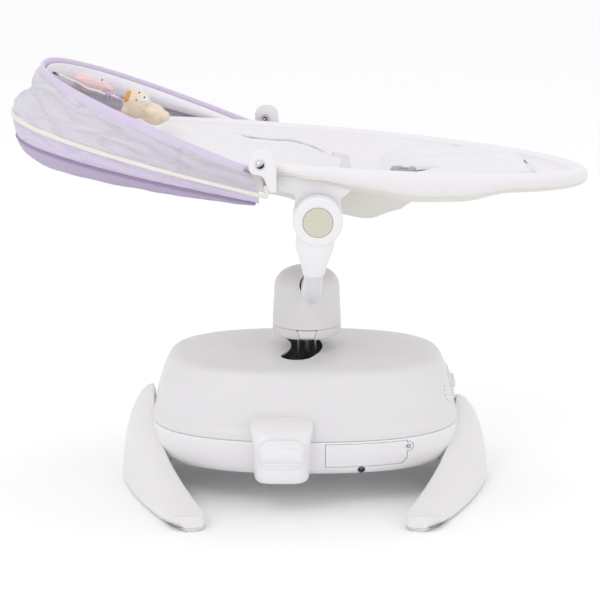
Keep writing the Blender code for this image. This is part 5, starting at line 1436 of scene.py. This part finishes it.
def seat_floor(x, y):
    """Height of the seat's inside above a place."""
    turn = atan2(y / SEAT_WIDE, (x - SEAT_MIDDLE_X) / 0.39)
    aim = atan2(y, x - SEAT_MIDDLE_X)
    for _ in range(3):
        edge, _ = rim_point(turn, 0.03)
        turn += (aim - atan2(edge.y, edge.x - SEAT_MIDDLE_X) + pi) % (2 * pi) - pi
    edge, rim = rim_point(turn, 0.03)
    reach = hypot(edge.x - SEAT_MIDDLE_X, edge.y)
    share = min(1.0, hypot(x - SEAT_MIDDLE_X, y) / max(1e-6, reach))
    bottom = read_off(SEAT_INSIDE, x)
    return bottom + (rim - 0.008 - bottom) * share ** 2.6


def build_harness():
    """The waist belt and the crotch strap with its buckle."""
    wide, thick = 0.024, 0.0022
    rows = []
    for k in range(61):
        y = 0.15 * (-1 + 2 * k / 60)
        lift = 0.0085 + 0.0045 * min(1.0, (0.15 - abs(y)) / 0.02)
        x = SEAT_MIDDLE_X + 0.004 * sin(y * 22)
        rows.append([Vector((x + u, y, (seat_floor(x + u, y) + seat_floor(x, y)) / 2 + lift + v))
                     for u, v in oval(wide / 2, thick / 2, 5, 20)])
    fitted(loft("belt", rows), "belt_strap", "seat", "webbing", ["waist_belt"])
    low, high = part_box("crotch_buckle")
    high.z += 0.0025
    middle = (low + high) / 2
    half_x, half_y, half_z = (high - low) / 2
    rings = []
    for k in range(19):
        share = -1 + 2 * k / 18
        narrow = (1 - abs(share) ** 5) ** 0.4
        plan = oval(half_y * (1 - 0.16 * share) * max(0.25, narrow), half_z * (0.55 + 0.45 * narrow), 4, 48)
        rings.append([middle + Vector((half_x * share, u, v)) for u, v in plan])
    buckle = loft("buckle", rings)
    for sign in (-1, 1):
        plan = oval(0.0075, 0.0022, 4, 32, (middle.x - 0.002, middle.y + sign * 0.0102))
        cut(buckle, plate("slot", plan, "Z", high.z - 0.0024, high.z + 0.01))
    fitted(buckle, "buckle_shell", "seat", "buckle", ["crotch_buckle"])
    press = plate("press", oval(0.0062, 0.0052, 3, 48, (middle.x + 0.004, middle.y)), "Z",
                  high.z - 0.004, high.z + 0.0006)
    bevelled(press, 0.0006, 2, 40)
    fitted(press, "buckle_press", "seat", "pillar")
    rows = []
    for k in range(25):
        share = k / 24
        x = middle.x - 0.012 + (0.24 - middle.x + 0.012) * share
        height = (seat_floor(x, 0.0) + 0.0045) * share + (middle.z - 0.001) * (1 - share) + 0.0065 * sin(pi * share)
        rows.append([Vector((x, middle.y + u, height + v)) for u, v in oval(0.0095, 0.001, 5, 16)])
    fitted(loft("strap", rows), "crotch_strap", "seat", "webbing")


# Canopy
HUB = middle_of("rivet_near")
WIRE = 0.002
EDGE_GAP = WIRE + 0.0012
WIRE_EXPONENT = 2.35
FRONT_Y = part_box("bow_front")[1].y - WIRE
MIDDLE_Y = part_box("bow_middle")[1].y - WIRE
PANEL_Y, FOLD_Y = MIDDLE_Y - 0.009, MIDDLE_Y - 0.026
FRONT_BOW = ((-0.364, 0.615), (-0.062, 0.4935), FRONT_Y)
MIDDLE_BOW = ((-0.408, 0.55), (-0.05, 0.463), MIDDLE_Y)
PANEL_EDGE = ((-0.403, 0.519), (-0.05, 0.4505), PANEL_Y)
FOLD_EDGE = ((-0.362, 0.484), (-0.056, 0.4465), FOLD_Y)


def bow_point(turn, bow):
    """A point of a bow: turn runs from -90 degrees at the near heel over 0 at the tip to 90 at the far heel."""
    (tip_x, tip_z), (heel_x, heel_z), half = bow
    run = power(cos(turn), 2 / WIRE_EXPONENT)
    return Vector((heel_x + (tip_x - heel_x) * run, half * power(sin(turn), 2 / WIRE_EXPONENT),
                   heel_z + (tip_z - heel_z) * run))


def bow_turns(count, reach=89.7):
    """Turns spread so that the points of a bow lie about evenly."""
    made = []
    for k in range(count + 1):
        share = -1 + 2 * k / count
        made.append(radians(reach) * copysign(1 - (1 - abs(share)) ** 1.5, share))
    return made


def lowered(bow, drop):
    (tip_x, tip_z), (heel_x, heel_z), half = bow
    return ((tip_x, tip_z - drop), (heel_x, heel_z - drop), half)


CLOTH_THICK = 0.0009


def cloth_between(name, upper, lower, rows, wrinkle, bulge, reach, count):
    """A crinkled sheet from one bow to another. Its points carry how far down it they lie."""
    outer, marks = [], []
    for turn in bow_turns(count, reach):
        high, low = bow_point(turn, upper), bow_point(turn, lower)
        side = bow_point(turn + 0.02, upper) - bow_point(turn - 0.02, upper)
        out = side.cross(high - low).normalized()
        if out.x * cos(turn) > 0:
            out = -out
        front, back = [], []
        values = [j / rows for j in range(rows + 1)]
        for share in values:
            spot = high.lerp(low, share)
            swing = sin(pi * share)
            spot = spot + out * (wrinkle(turn, share, spot) * swing ** 0.6 + bulge * swing)
            front.append(spot)
            back.append(spot - out * CLOTH_THICK)
        outer.append(front + list(reversed(back)))
        marks.append(values + list(reversed(values)))
    return loft(name, outer, True, False, True, marks)


def net_wrinkle(turn, share, spot):
    """Upright gathers at the tip of the bows and long folds along them towards the heels."""
    tip = max(0.0, cos(turn)) ** 3
    size = sizes().crumple
    upright = sin(spot.y * 190 + 3.0 * rippled(spot, 22.0, 1.0)) * 0.3
    lump = 1.2 * sin(share * 8.6 + 0.8) * tip
    along = sin(share * 19.0 + 5.0 * rippled(spot, 8.0, 3.0) + turn * 3.0)
    broken = abs(rippled(spot, 20.0, 6.0)) + 0.55 * abs(rippled(spot, 43.0, 7.0))
    fine = 0.3 * rippled(spot, 95.0, 8.0)
    loose = max(0.0, cos(turn)) ** 0.45
    folds = tip * upright + 0.8 * lump + (1 - tip) * 0.42 * along - 2.1 * broken + 0.9 + fine
    return max(-0.0032, size * loose * folds)


def panel_wrinkle(turn, share, spot):
    return sizes().crumple * 0.22 * (rippled(spot, 34.0, 11.0) + 0.6 * rippled(spot, 80.0, 12.0))


def fold_wrinkle(turn, share, spot):
    """The lower fold hangs out in a roll at the tip."""
    return 0.0085 * max(0.0, cos(turn)) ** 0.7 + panel_wrinkle(turn, share, spot)


LINING_REACH = 0.55  # how far down from the front bow to the middle one the lining reaches


def inward(bow, step):
    """A bow set in by a step on all sides."""
    (tip_x, tip_z), heel, half = bow
    return ((tip_x + step, tip_z), heel, half - step)


def inner_edge():
    front, middle = inward(FRONT_BOW, 0.0052), inward(MIDDLE_BOW, 0.024)
    blend = [tuple(a + (b - a) * LINING_REACH for a, b in zip(front[k], middle[k])) for k in (0, 1)]
    return (*blend, front[2] + (middle[2] - front[2]) * LINING_REACH)


def lining_wrinkle(turn, share, spot):
    return sizes().crumple * 0.3 * (rippled(spot, 26.0, 15.0) + 0.5 * rippled(spot, 70.0, 16.0))


def shared_between(made, upper, lower, reach=1.0):
    """The sheet follows the upper body at its top edge and, as far as it reaches, the lower one further down."""
    values = np.empty(len(made.data.vertices), np.float32)
    made.data.attributes["across"].data.foreach_get("value", values)
    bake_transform(made, upper, lower, (HUB.x - 0.25, 0, HUB.z + 0.09), (HUB.x - 0.3, 0, HUB.z))
    layer = made.data.attributes.get("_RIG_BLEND") or made.data.attributes.new("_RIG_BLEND", "FLOAT", "POINT")
    layer.data.foreach_set("value", values * reach)


def bow_bar(name, bow, eye_y, body, node):
    line = [bow_point(turn, bow) for turn in bow_turns(140, 90.0)]
    ends = [(HUB.x, eye_y, HUB.z)]
    if eye_y < bow[2] - 0.001:
        x, z = bow[1][0] + 0.0055, bow[1][1] - 0.002
        ends += [(x, eye_y, z), (x - 0.001, bow[2] - 0.002, z)]
    near = [(x, -y, z) for x, y, z in ends]
    bar = sweep("bar", [*near, *line, *reversed(ends)], WIRE, 12)
    eyes = []
    for sign in (-1, 1):
        faces = sorted((sign * (eye_y - WIRE), sign * (eye_y + WIRE)))
        ring = [(0.0034, faces[0]), (0.0034, faces[1]), (0.0056, faces[1]), (0.006, (faces[0] + faces[1]) / 2),
                (0.0056, faces[0])]
        eyes.append(turned("eye", ring, (HUB.x, 0, HUB.z), "Y", 40))
    fitted(joined("bar", bar, *eyes), name, body, "steel", [node])


def sleeve(name, bow, body, half_high, half_thick, finish_name, drop, reach, wave, taper):
    """A flat fabric sleeve sewn round a bow. taper gives its height's share at a share of its length."""
    rings = []
    turns = bow_turns(180, reach)
    for k, turn in enumerate(turns):
        spot = bow_point(turn, bow)
        along = (bow_point(turn + 0.01, bow) - bow_point(turn - 0.01, bow)).normalized()
        out = along.cross(Vector((0, 0, 1))).normalized()
        up = out.cross(along).normalized()
        if up.z < 0:
            up = -up
        grow = taper(k / (len(turns) - 1))
        puff = 1 + wave * rippled(spot, 42.0, 5.0)
        rings.append([spot + up * (v * grow - drop) + out * (u * puff)
                      for u, v in oval(half_thick, half_high, 2.4, 28)])
    fitted(loft(name, rings), name, body, finish_name)


def build_canopy():
    bow_bar("front_bow", FRONT_BOW, FRONT_Y, "canopy_front", "bow_front")
    bow_bar("middle_bow", MIDDLE_BOW, FRONT_Y + 0.0044, "canopy_middle", "bow_middle")
    # each sheet: what it stands for, its two edges, rows, wrinkle, bulge, reach, count, its material and slot, the
    # bodies at its edges, how far down it follows the second, and how it is held
    sheets = (
        ("net_sheet", ["canopy_net"], lowered(FRONT_BOW, EDGE_GAP), lowered(MIDDLE_BOW, -EDGE_GAP), 34, net_wrinkle,
         -0.0015, 89.6, 320, "net", "canopy_net", "canopy_front", "canopy_middle", 1.0, "gathered", "bow_middle"),
        ("panel_sheet", ["canopy_panel"], lowered(MIDDLE_BOW, EDGE_GAP), PANEL_EDGE, 12, panel_wrinkle,
         0.0012, 89.6, 220, "canopy", "canopy_fabric", "canopy_middle", "seat", 1.0, "stretched", "bow_middle"),
        ("fold_sheet", ["canopy_fold"], lowered(PANEL_EDGE, EDGE_GAP), FOLD_EDGE, 14, fold_wrinkle,
         0.0015, 89.0, 180, "fold", "canopy_fabric", "seat", None, 0.0, "stretched", "bow_middle"),
        ("inner_lining", [], lowered(inward(FRONT_BOW, 0.0052), 0.004), inner_edge(), 14, lining_wrinkle,
         -0.006, 89.0, 240, "lining", "canopy_fabric", "canopy_front", "canopy_middle", LINING_REACH, "stretched",
         "bow_front"))
    long = run_lengths([bow_point(turn, MIDDLE_BOW) for turn in bow_turns(60)], False)[-1]
    for (name, nodes, upper, lower, rows, wrinkle, bulge, reach, count, finish_name, slot, first, second, share, held,
         bow) in sheets:
        made = worn(cloth_between(name, upper, lower, rows, wrinkle, bulge, reach, count), name, finish_name, 80)
        if second:
            shared_between(made, first, second, share)
        else:
            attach(made, first)
        if nodes:
            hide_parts(*nodes)

    sleeve("front_band", FRONT_BOW, "canopy_front", 0.0074, 0.0032, "band", 0.0034, 88.6, 0.25, lambda share: 1.0)
    for way, drop in ((-1, -0.0032), (1, 0.0098)):
        line = [bow_point(turn, FRONT_BOW) - Vector((0, 0, drop)) for turn in bow_turns(260, 84.0)]
        seam(f"band_stitches_{'upper' if way < 0 else 'lower'}", line, bow_outward, "canopy_front", "canopy_fabric",
             sink=0.0024)
    sleeve("middle_piping", MIDDLE_BOW, "canopy_middle", 0.0033, 0.0032, "piping", 0.0, 88.8, 0.12,
           lambda share: 0.72 + 0.28 * sin(pi * share) ** 0.6)
    for side, sign in SIDES:
        heel = MIDDLE_BOW[1]
        ends = smooth_line([bow_point(sign * radians(87), MIDDLE_BOW), bow_point(sign * radians(89.6), MIDDLE_BOW),
                            (heel[0] + 0.0052, sign * (MIDDLE_Y - 0.0012), heel[1] + 0.0006),
                            (heel[0] + 0.0042, sign * (MIDDLE_Y - 0.005), heel[1] + 0.011)], 6)
        fitted(sweep("loop", ends, 0.003, 14), f"heel_loop_{side}", "canopy_middle", "piping")
    # painted shadow: a dark strip under the panel's lower edge, which also closes the gap to the fold
    line = [bow_point(turn, lowered(PANEL_EDGE, EDGE_GAP / 2)) for turn in bow_turns(180, 89.0)]
    fitted(sweep("edge", line, 0.0021, 12), "panel_edge_shadow", "seat", "shade")
    build_tabs()


def bow_outward(point):
    return (point - Vector((HUB.x - 0.12, 0, point.z))).normalized()


def build_tabs():
    """The plates and domed rivets that the bows turn on."""
    corners = [(-0.069, 0.5255, 0.017), (-0.035, 0.5255, 0.015), (-0.0315, 0.495, 0.01), (-0.0315, 0.467, 0.002),
               (-0.041, 0.467, 0.002), (-0.05, 0.49, 0.01), (-0.069, 0.492, 0.015)]
    outline = rounded_outline(corners, 9)
    for side, sign in SIDES:
        outer = sign * farthest(f"canopy_tab_{side}")
        tab = bevelled(plate("tab", outline, "Y", *sorted((outer, outer - sign * 0.004))), 0.0011, 3, 30)
        lug = sorted((sign * (BRACKET_OUTER + 0.0005), outer - sign * 0.002))
        join(tab, plate("lug", [(-0.0395, 0.4672), (-0.0318, 0.4672), (-0.0318, 0.479), (-0.0395, 0.479)], "Y", *lug))
        hollow = disc_profile(0.0078, *sorted((outer - sign * 0.0006, outer + sign * 0.004)), 0.0004)
        cut(tab, turned("hollow", hollow, (HUB.x, 0, HUB.z), "Y", 64))
        fitted(tab, f"tab_plate_{side}", "seat", "trim", [f"canopy_tab_{side}"], 35)
        base = outer - sign * 0.0006
        dome = [(0.0058 * cos(turn), base + sign * (0.0003 + 0.0036 * sin(turn)))
                for turn in (pi / 2 * k / 12 for k in range(1, 12))]
        profile = [(0.0, base - sign * 0.003), (0.0026, base - sign * 0.003), (0.0026, base), (0.0058, base), *dome,
                   (0.0, base + sign * 0.0039)]
        rivet = turned("rivet", profile, (HUB.x, 0, HUB.z), "Y", 64)
        fitted(rivet, f"rivet_dome_{side}", "seat", "chrome", [f"rivet_{side}"], 60)


BRACKET_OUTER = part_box("bracket_far")[1].y


def rounded_outline(corners, steps):
    """An outline with each corner rounded to its own radius."""
    made = []
    count = len(corners)
    for k in range(count):
        x, z, radius = corners[k]
        here = Vector((x, z))
        before, after = Vector(corners[k - 1][:2]) - here, Vector(corners[(k + 1) % count][:2]) - here
        half = before.angle(after) / 2
        back = min(radius / tan(half), before.length * 0.48, after.length * 0.48)
        radius = back * tan(half)
        middle = here + (before.normalized() + after.normalized()).normalized() * (radius / sin(half))
        first, last = here + before.normalized() * back, here + after.normalized() * back
        a, b = atan2(*(first - middle).yx), atan2(*(last - middle).yx)
        sweep_angle = (b - a + pi) % (2 * pi) - pi
        for j in range(steps + 1):
            turn = a + sweep_angle * j / steps
            made.append((middle.x + radius * cos(turn), middle.y + radius * sin(turn)))
    return made


# Soft toys
TOY_FRAME = Matrix.Translation((-0.35, 0, 0.6)) @ Matrix.Rotation(radians(22), 4, "Y")


def balls(rows, around, steps):
    """Balls given as (radius, along the strap, across it, height, stretch)."""
    bm = bmesh.new()
    for radius, along, across, height, stretch in rows:
        place = Matrix.Translation((along, across, height)) @ Matrix.Diagonal((*stretch, 1.0))
        bmesh.ops.create_uvsphere(bm, u_segments=around, v_segments=steps, radius=radius, matrix=TOY_FRAME @ place)
    return piece_from(bm, "balls")


def stuffed(name, finish_name, slot, node, *rows):
    """Balls melted into one stuffed form."""
    made = melted(balls(rows, 32, 20), 0.0014, 5)
    for vertex in made.data.vertices:
        vertex.co += vertex.normal * (0.0003 * rippled(vertex.co, 260.0, 3.0) + 0.0002 * rippled(vertex.co, 90.0, 5.0))
    fitted(made, name, "toys", finish_name, [node], 180)


def beads(name, places, radius, finish_name, stretch=(1, 1, 1)):
    made = balls([(radius, *place, stretch) for place in places], 24, 16)
    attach(worn(made, name, finish_name, 180), "toys")
    return made


def build_toys():
    head, face, up = Vector((0.125, 0, 0.003)), Vector((0.05, -0.72, 0.69)), Vector((0, 0.69, 0.72))
    grow = 1.13

    def on_head(along, sideways, out):
        return tuple(head + Vector((along, 0, 0)) + up * sideways + face * out)

    ears = [(0.0072, *on_head(-0.0125, way * 0.0165, 0.0), (0.8, 1, 1)) for way in (-1, 1)]
    limbs = [(radius, along, way * across, 0.002, (long, 1, 1)) for way in (1, -1)
             for radius, along, across, long in ((0.0062, 0.146, 0.0175, 1.4), (0.0064, 0.167, 0.01, 1.3))]
    stuffed("bear", "bear", "toy_cream", "toy_bear", (0.019 * grow, *head, (0.95, 1, 0.95)),
            (0.016 * grow, 0.151, 0, -0.001, (1.15, 1, 0.85)), *ears, *limbs)
    muzzle = beads("bear_muzzle", [on_head(0.007, 0.0, 0.015)], 0.0088, "muzzle", (0.85, 1.0, 0.9))
    beads("bear_eyes", [on_head(-0.0035, -0.007, 0.0192), on_head(-0.0035, 0.007, 0.0192),
                        on_head(0.0055, 0.0, 0.0236)], 0.0014, "eye")
    beads("bear_bow", [on_head(-0.017, way * 0.0052, 0.012) for way in (-1, 1)] + [on_head(-0.017, 0, 0.0128)],
          0.0046, "felt", (0.75, 1.1, 0.9))

    stuffed("rabbit", "rabbit", "toy_pink", "toy_rabbit", (0.0165, 0.045, 0.03, 0.0, (1.15, 1, 0.8)),
            (0.0118, 0.067, 0.03, 0.002, (1, 1, 0.95)), (0.0052, 0.078, 0.0235, 0.005, (1.5, 0.9, 0.7)),
            (0.0052, 0.078, 0.0365, 0.005, (1.5, 0.9, 0.7)), (0.0055, 0.038, 0.044, 0.002, (1.4, 0.9, 0.8)),
            (0.0055, 0.034, 0.017, 0.002, (1.4, 0.9, 0.8)))
    beads("rabbit_eyes", [(0.0655, 0.0262, 0.0125), (0.0655, 0.0338, 0.0125)], 0.0011, "eye")

    rows = []
    for k in range(81):
        share = k / 80
        along = 0.002 + 0.103 * share
        lift = 0.0012 * sin(share * 9.0) + 0.0006 * sin(share * 23.0)
        rows.append([TOY_FRAME @ Vector((along, u, v + lift)) for u, v in oval(0.006, 0.001, 5, 18)])
    fitted(loft("strap", rows), "toy_ribbon", "toys", "webbing", ["toy_strap"])
    clip = sweep("clip", [TOY_FRAME @ Vector((0.004 + 0.006 * cos(t / 8 * pi), 0.0055 * sin(t / 8 * pi),
                                              0.001)) for t in range(16)], 0.0011, 10, True)
    fitted(clip, "toy_ring", "toys", "clip")
    rows = []
    middle, lift = Vector((0.09, 0, 0.001)), Vector((0, 0, 0.0006))
    for turn in full_turn(61):
        frill = 1 + 0.16 * sin(turn * 9)
        spot = Vector((0.09 + 0.011 * frill * cos(turn), 0.016 * frill * sin(turn), 0.0035 * sin(turn * 9)))
        under = [middle.lerp(spot, share) for share in (0.12, 0.6, 1.0)]
        rows.append([TOY_FRAME @ point for point in (*under, *(point + lift for point in reversed(under)))])
    fitted(loft("lace", rows, True, True), "toy_lace", "toys", "lace")


# Inner works, which keep the frame's own forms
INNER_FINISHES = {
    "steel": "steel", "painted_tube": "tube", "rivet_chrome": "chrome", "gear_nylon": "gear",
    "circuit_board": "board", "dark_plastic": "dark", "white_plastic": "shell", "grey_plastic": "pillar",
    "buckle_grey": "buckle", "button_beige": "disc", "pad_rubber": "pad", "webbing": "webbing",
    "seat_fabric": "liner", "canopy_fabric": "canopy", "canopy_net": "net", "toy_cream": "bear", "toy_pink": "rabbit",
}


def build_works():
    slots = {row["node"]: row.get("material_slot") for row in frame["record"]["subparts"]}
    for name, node in frame["nodes"].items():
        if node.hide_render:
            continue
        worn_as = finish(INNER_FINISHES.get(slots.get(name), "shell"))
        node.data.materials.clear()
        node.data.materials.append(worn_as)
        for polygon in node.data.polygons:
            polygon.material_index = 0


# Floor, light and camera
def build_stage():
    scene = bpy.context.scene
    bpy.ops.mesh.primitive_plane_add(size=60.0, location=(0, 10.0, 0))
    floor = bpy.context.object
    floor.name = floor.data.name = "floor"
    made, tree, place = shaded("pale_floor", 0.9)
    speck = times(tree, noise_of(tree, place, 3.0), 0.01)
    floor.data.materials.append(dressed(made, mixed(tree, speck, (0.985, 0.985, 0.987), (0.97, 0.97, 0.973))))
    lights = (("key", (-1.5, -2.2, 2.8), 1.4, 15.0), ("fill", (2.4, -2.2, 1.4), 2.2, 4.0),
              ("top", (0.2, 0.3, 3.0), 1.2, 5.0))
    for name, place, size, power_of in lights:
        data = bpy.data.lights.new(name, "AREA")
        data.shape, data.size, data.energy = "DISK", size, power_of
        light = bpy.data.objects.new(name, data)
        light.location = place
        aim = Vector((0.0, 0.0, 0.3)) - Vector(place)
        light.rotation_euler = aim.to_track_quat("-Z", "Y").to_euler()
        scene.collection.objects.link(light)
    world = bpy.data.worlds.new("studio")
    world.use_nodes = True
    background = world.node_tree.nodes["Background"]
    background.inputs["Color"].default_value = (1.0, 1.0, 1.0, 1.0)
    background.inputs["Strength"].default_value = 0.98
    scene.world = world
    camera = bpy.data.objects.new("camera", bpy.data.cameras.new("camera"))
    camera.data.lens, camera.data.sensor_width = 126.78, 36.0
    camera.data.clip_end = 100.0
    camera.location = (0.0, -3.0, 0.985)
    camera.rotation_euler = (radians(90 - 13.43), 0, 0)
    scene.collection.objects.link(camera)
    scene.camera = camera
    scene.view_settings.view_transform = "Standard"


# Operators and panel
class SWING_OT_base(bpy.types.Operator):
    """Builds the base housing with its slot, seam and speaker holes"""

    bl_idname = "swing.base"
    bl_label = "Base Housing"

    def execute(self, context):
        build_base()
        return {"FINISHED"}


class SWING_OT_door(bpy.types.Operator):
    """Builds the battery door, its screw and the power socket"""

    bl_idname = "swing.door"
    bl_label = "Battery Door and Socket"

    def execute(self, context):
        build_door()
        return {"FINISHED"}


class SWING_OT_controls(bpy.types.Operator):
    """Builds the control panel and its keys"""

    bl_idname = "swing.controls"
    bl_label = "Control Panel"

    def execute(self, context):
        build_panel()
        return {"FINISHED"}


class SWING_OT_blocks(bpy.types.Operator):
    """Builds the two side blocks and their grip pads"""

    bl_idname = "swing.blocks"
    bl_label = "Side Blocks"

    def execute(self, context):
        build_blocks()
        return {"FINISHED"}


class SWING_OT_legs(bpy.types.Operator):
    """Builds the two curved legs and their rubber pads"""

    bl_idname = "swing.legs"
    bl_label = "Legs"

    def execute(self, context):
        build_legs()
        return {"FINISHED"}


class SWING_OT_pillar(bpy.types.Operator):
    """Builds the pillar's cover, ring and release latch"""

    bl_idname = "swing.pillar"
    bl_label = "Pillar"

    def execute(self, context):
        build_pillar()
        return {"FINISHED"}


class SWING_OT_fork(bpy.types.Operator):
    """Builds the fork tube, the boots on its ends and the recline discs"""

    bl_idname = "swing.fork"
    bl_label = "Fork and Boots"

    def execute(self, context):
        build_fork()
        return {"FINISHED"}


class SWING_OT_brackets(bpy.types.Operator):
    """Builds the seat's brackets"""

    bl_idname = "swing.brackets"
    bl_label = "Seat Brackets"

    def execute(self, context):
        build_brackets()
        return {"FINISHED"}


class SWING_OT_seat(bpy.types.Operator):
    """Builds the seat's cover with its hem, ridge and stitches, and its hoop"""

    bl_idname = "swing.seat"
    bl_label = "Seat Cover"

    def execute(self, context):
        build_seat()
        return {"FINISHED"}


class SWING_OT_liner(bpy.types.Operator):
    """Builds the padded liner by a short cloth simulation"""

    bl_idname = "swing.liner"
    bl_label = "Padded Liner"

    def execute(self, context):
        build_liner()
        return {"FINISHED"}


class SWING_OT_harness(bpy.types.Operator):
    """Builds the waist belt, the crotch strap and its buckle"""

    bl_idname = "swing.harness"
    bl_label = "Harness"

    def execute(self, context):
        build_harness()
        return {"FINISHED"}


class SWING_OT_canopy(bpy.types.Operator):
    """Builds the bows, the sheets between them, their hems and the rivets"""

    bl_idname = "swing.canopy"
    bl_label = "Canopy"

    def execute(self, context):
        build_canopy()
        return {"FINISHED"}


class SWING_OT_toys(bpy.types.Operator):
    """Builds the soft toys and their ribbon"""

    bl_idname = "swing.toys"
    bl_label = "Soft Toys"

    def execute(self, context):
        build_toys()
        return {"FINISHED"}


class SWING_OT_works(bpy.types.Operator):
    """Gives every piece that keeps the frame's form its material"""

    bl_idname = "swing.works"
    bl_label = "Inner Works"

    def execute(self, context):
        build_works()
        return {"FINISHED"}


class SWING_OT_stage(bpy.types.Operator):
    """Sets the floor, the lights and the camera"""

    bl_idname = "swing.stage"
    bl_label = "Studio"

    def execute(self, context):
        build_stage()
        return {"FINISHED"}


OPERATORS = (SWING_OT_base, SWING_OT_door, SWING_OT_controls, SWING_OT_blocks, SWING_OT_legs, SWING_OT_pillar,
             SWING_OT_fork, SWING_OT_brackets, SWING_OT_seat, SWING_OT_liner, SWING_OT_harness, SWING_OT_canopy,
             SWING_OT_toys, SWING_OT_works, SWING_OT_stage)


class SWING_PT_panel(bpy.types.Panel):
    """The building steps, in order, under their sizes and colours"""

    bl_idname = "SWING_PT_panel"
    bl_label = "Baby Swing"
    bl_space_type = "VIEW_3D"
    bl_region_type = "UI"
    bl_category = "Baby Swing"

    def draw(self, context):
        column = self.layout.column(align=True)
        for operator in OPERATORS:
            column.operator(operator.bl_idname)
        for group in (context.scene.swing_sizes, context.scene.swing_colours):
            box = self.layout.box()
            for name in group.__annotations__:
                box.prop(group, name)


CLASSES = (SwingColours, SwingSizes, *OPERATORS, SWING_PT_panel)


def register():
    for cls in CLASSES:
        bpy.utils.register_class(cls)
    bpy.types.Scene.swing_colours = PointerProperty(type=SwingColours)
    bpy.types.Scene.swing_sizes = PointerProperty(type=SwingSizes)


def unregister():
    del bpy.types.Scene.swing_sizes
    del bpy.types.Scene.swing_colours
    for cls in reversed(CLASSES):
        bpy.utils.unregister_class(cls)


def main():
    register()
    for operator in OPERATORS:
        group, name = operator.bl_idname.split(".")
        getattr(getattr(bpy.ops, group), name)()


if __name__ == "__main__":
    main()
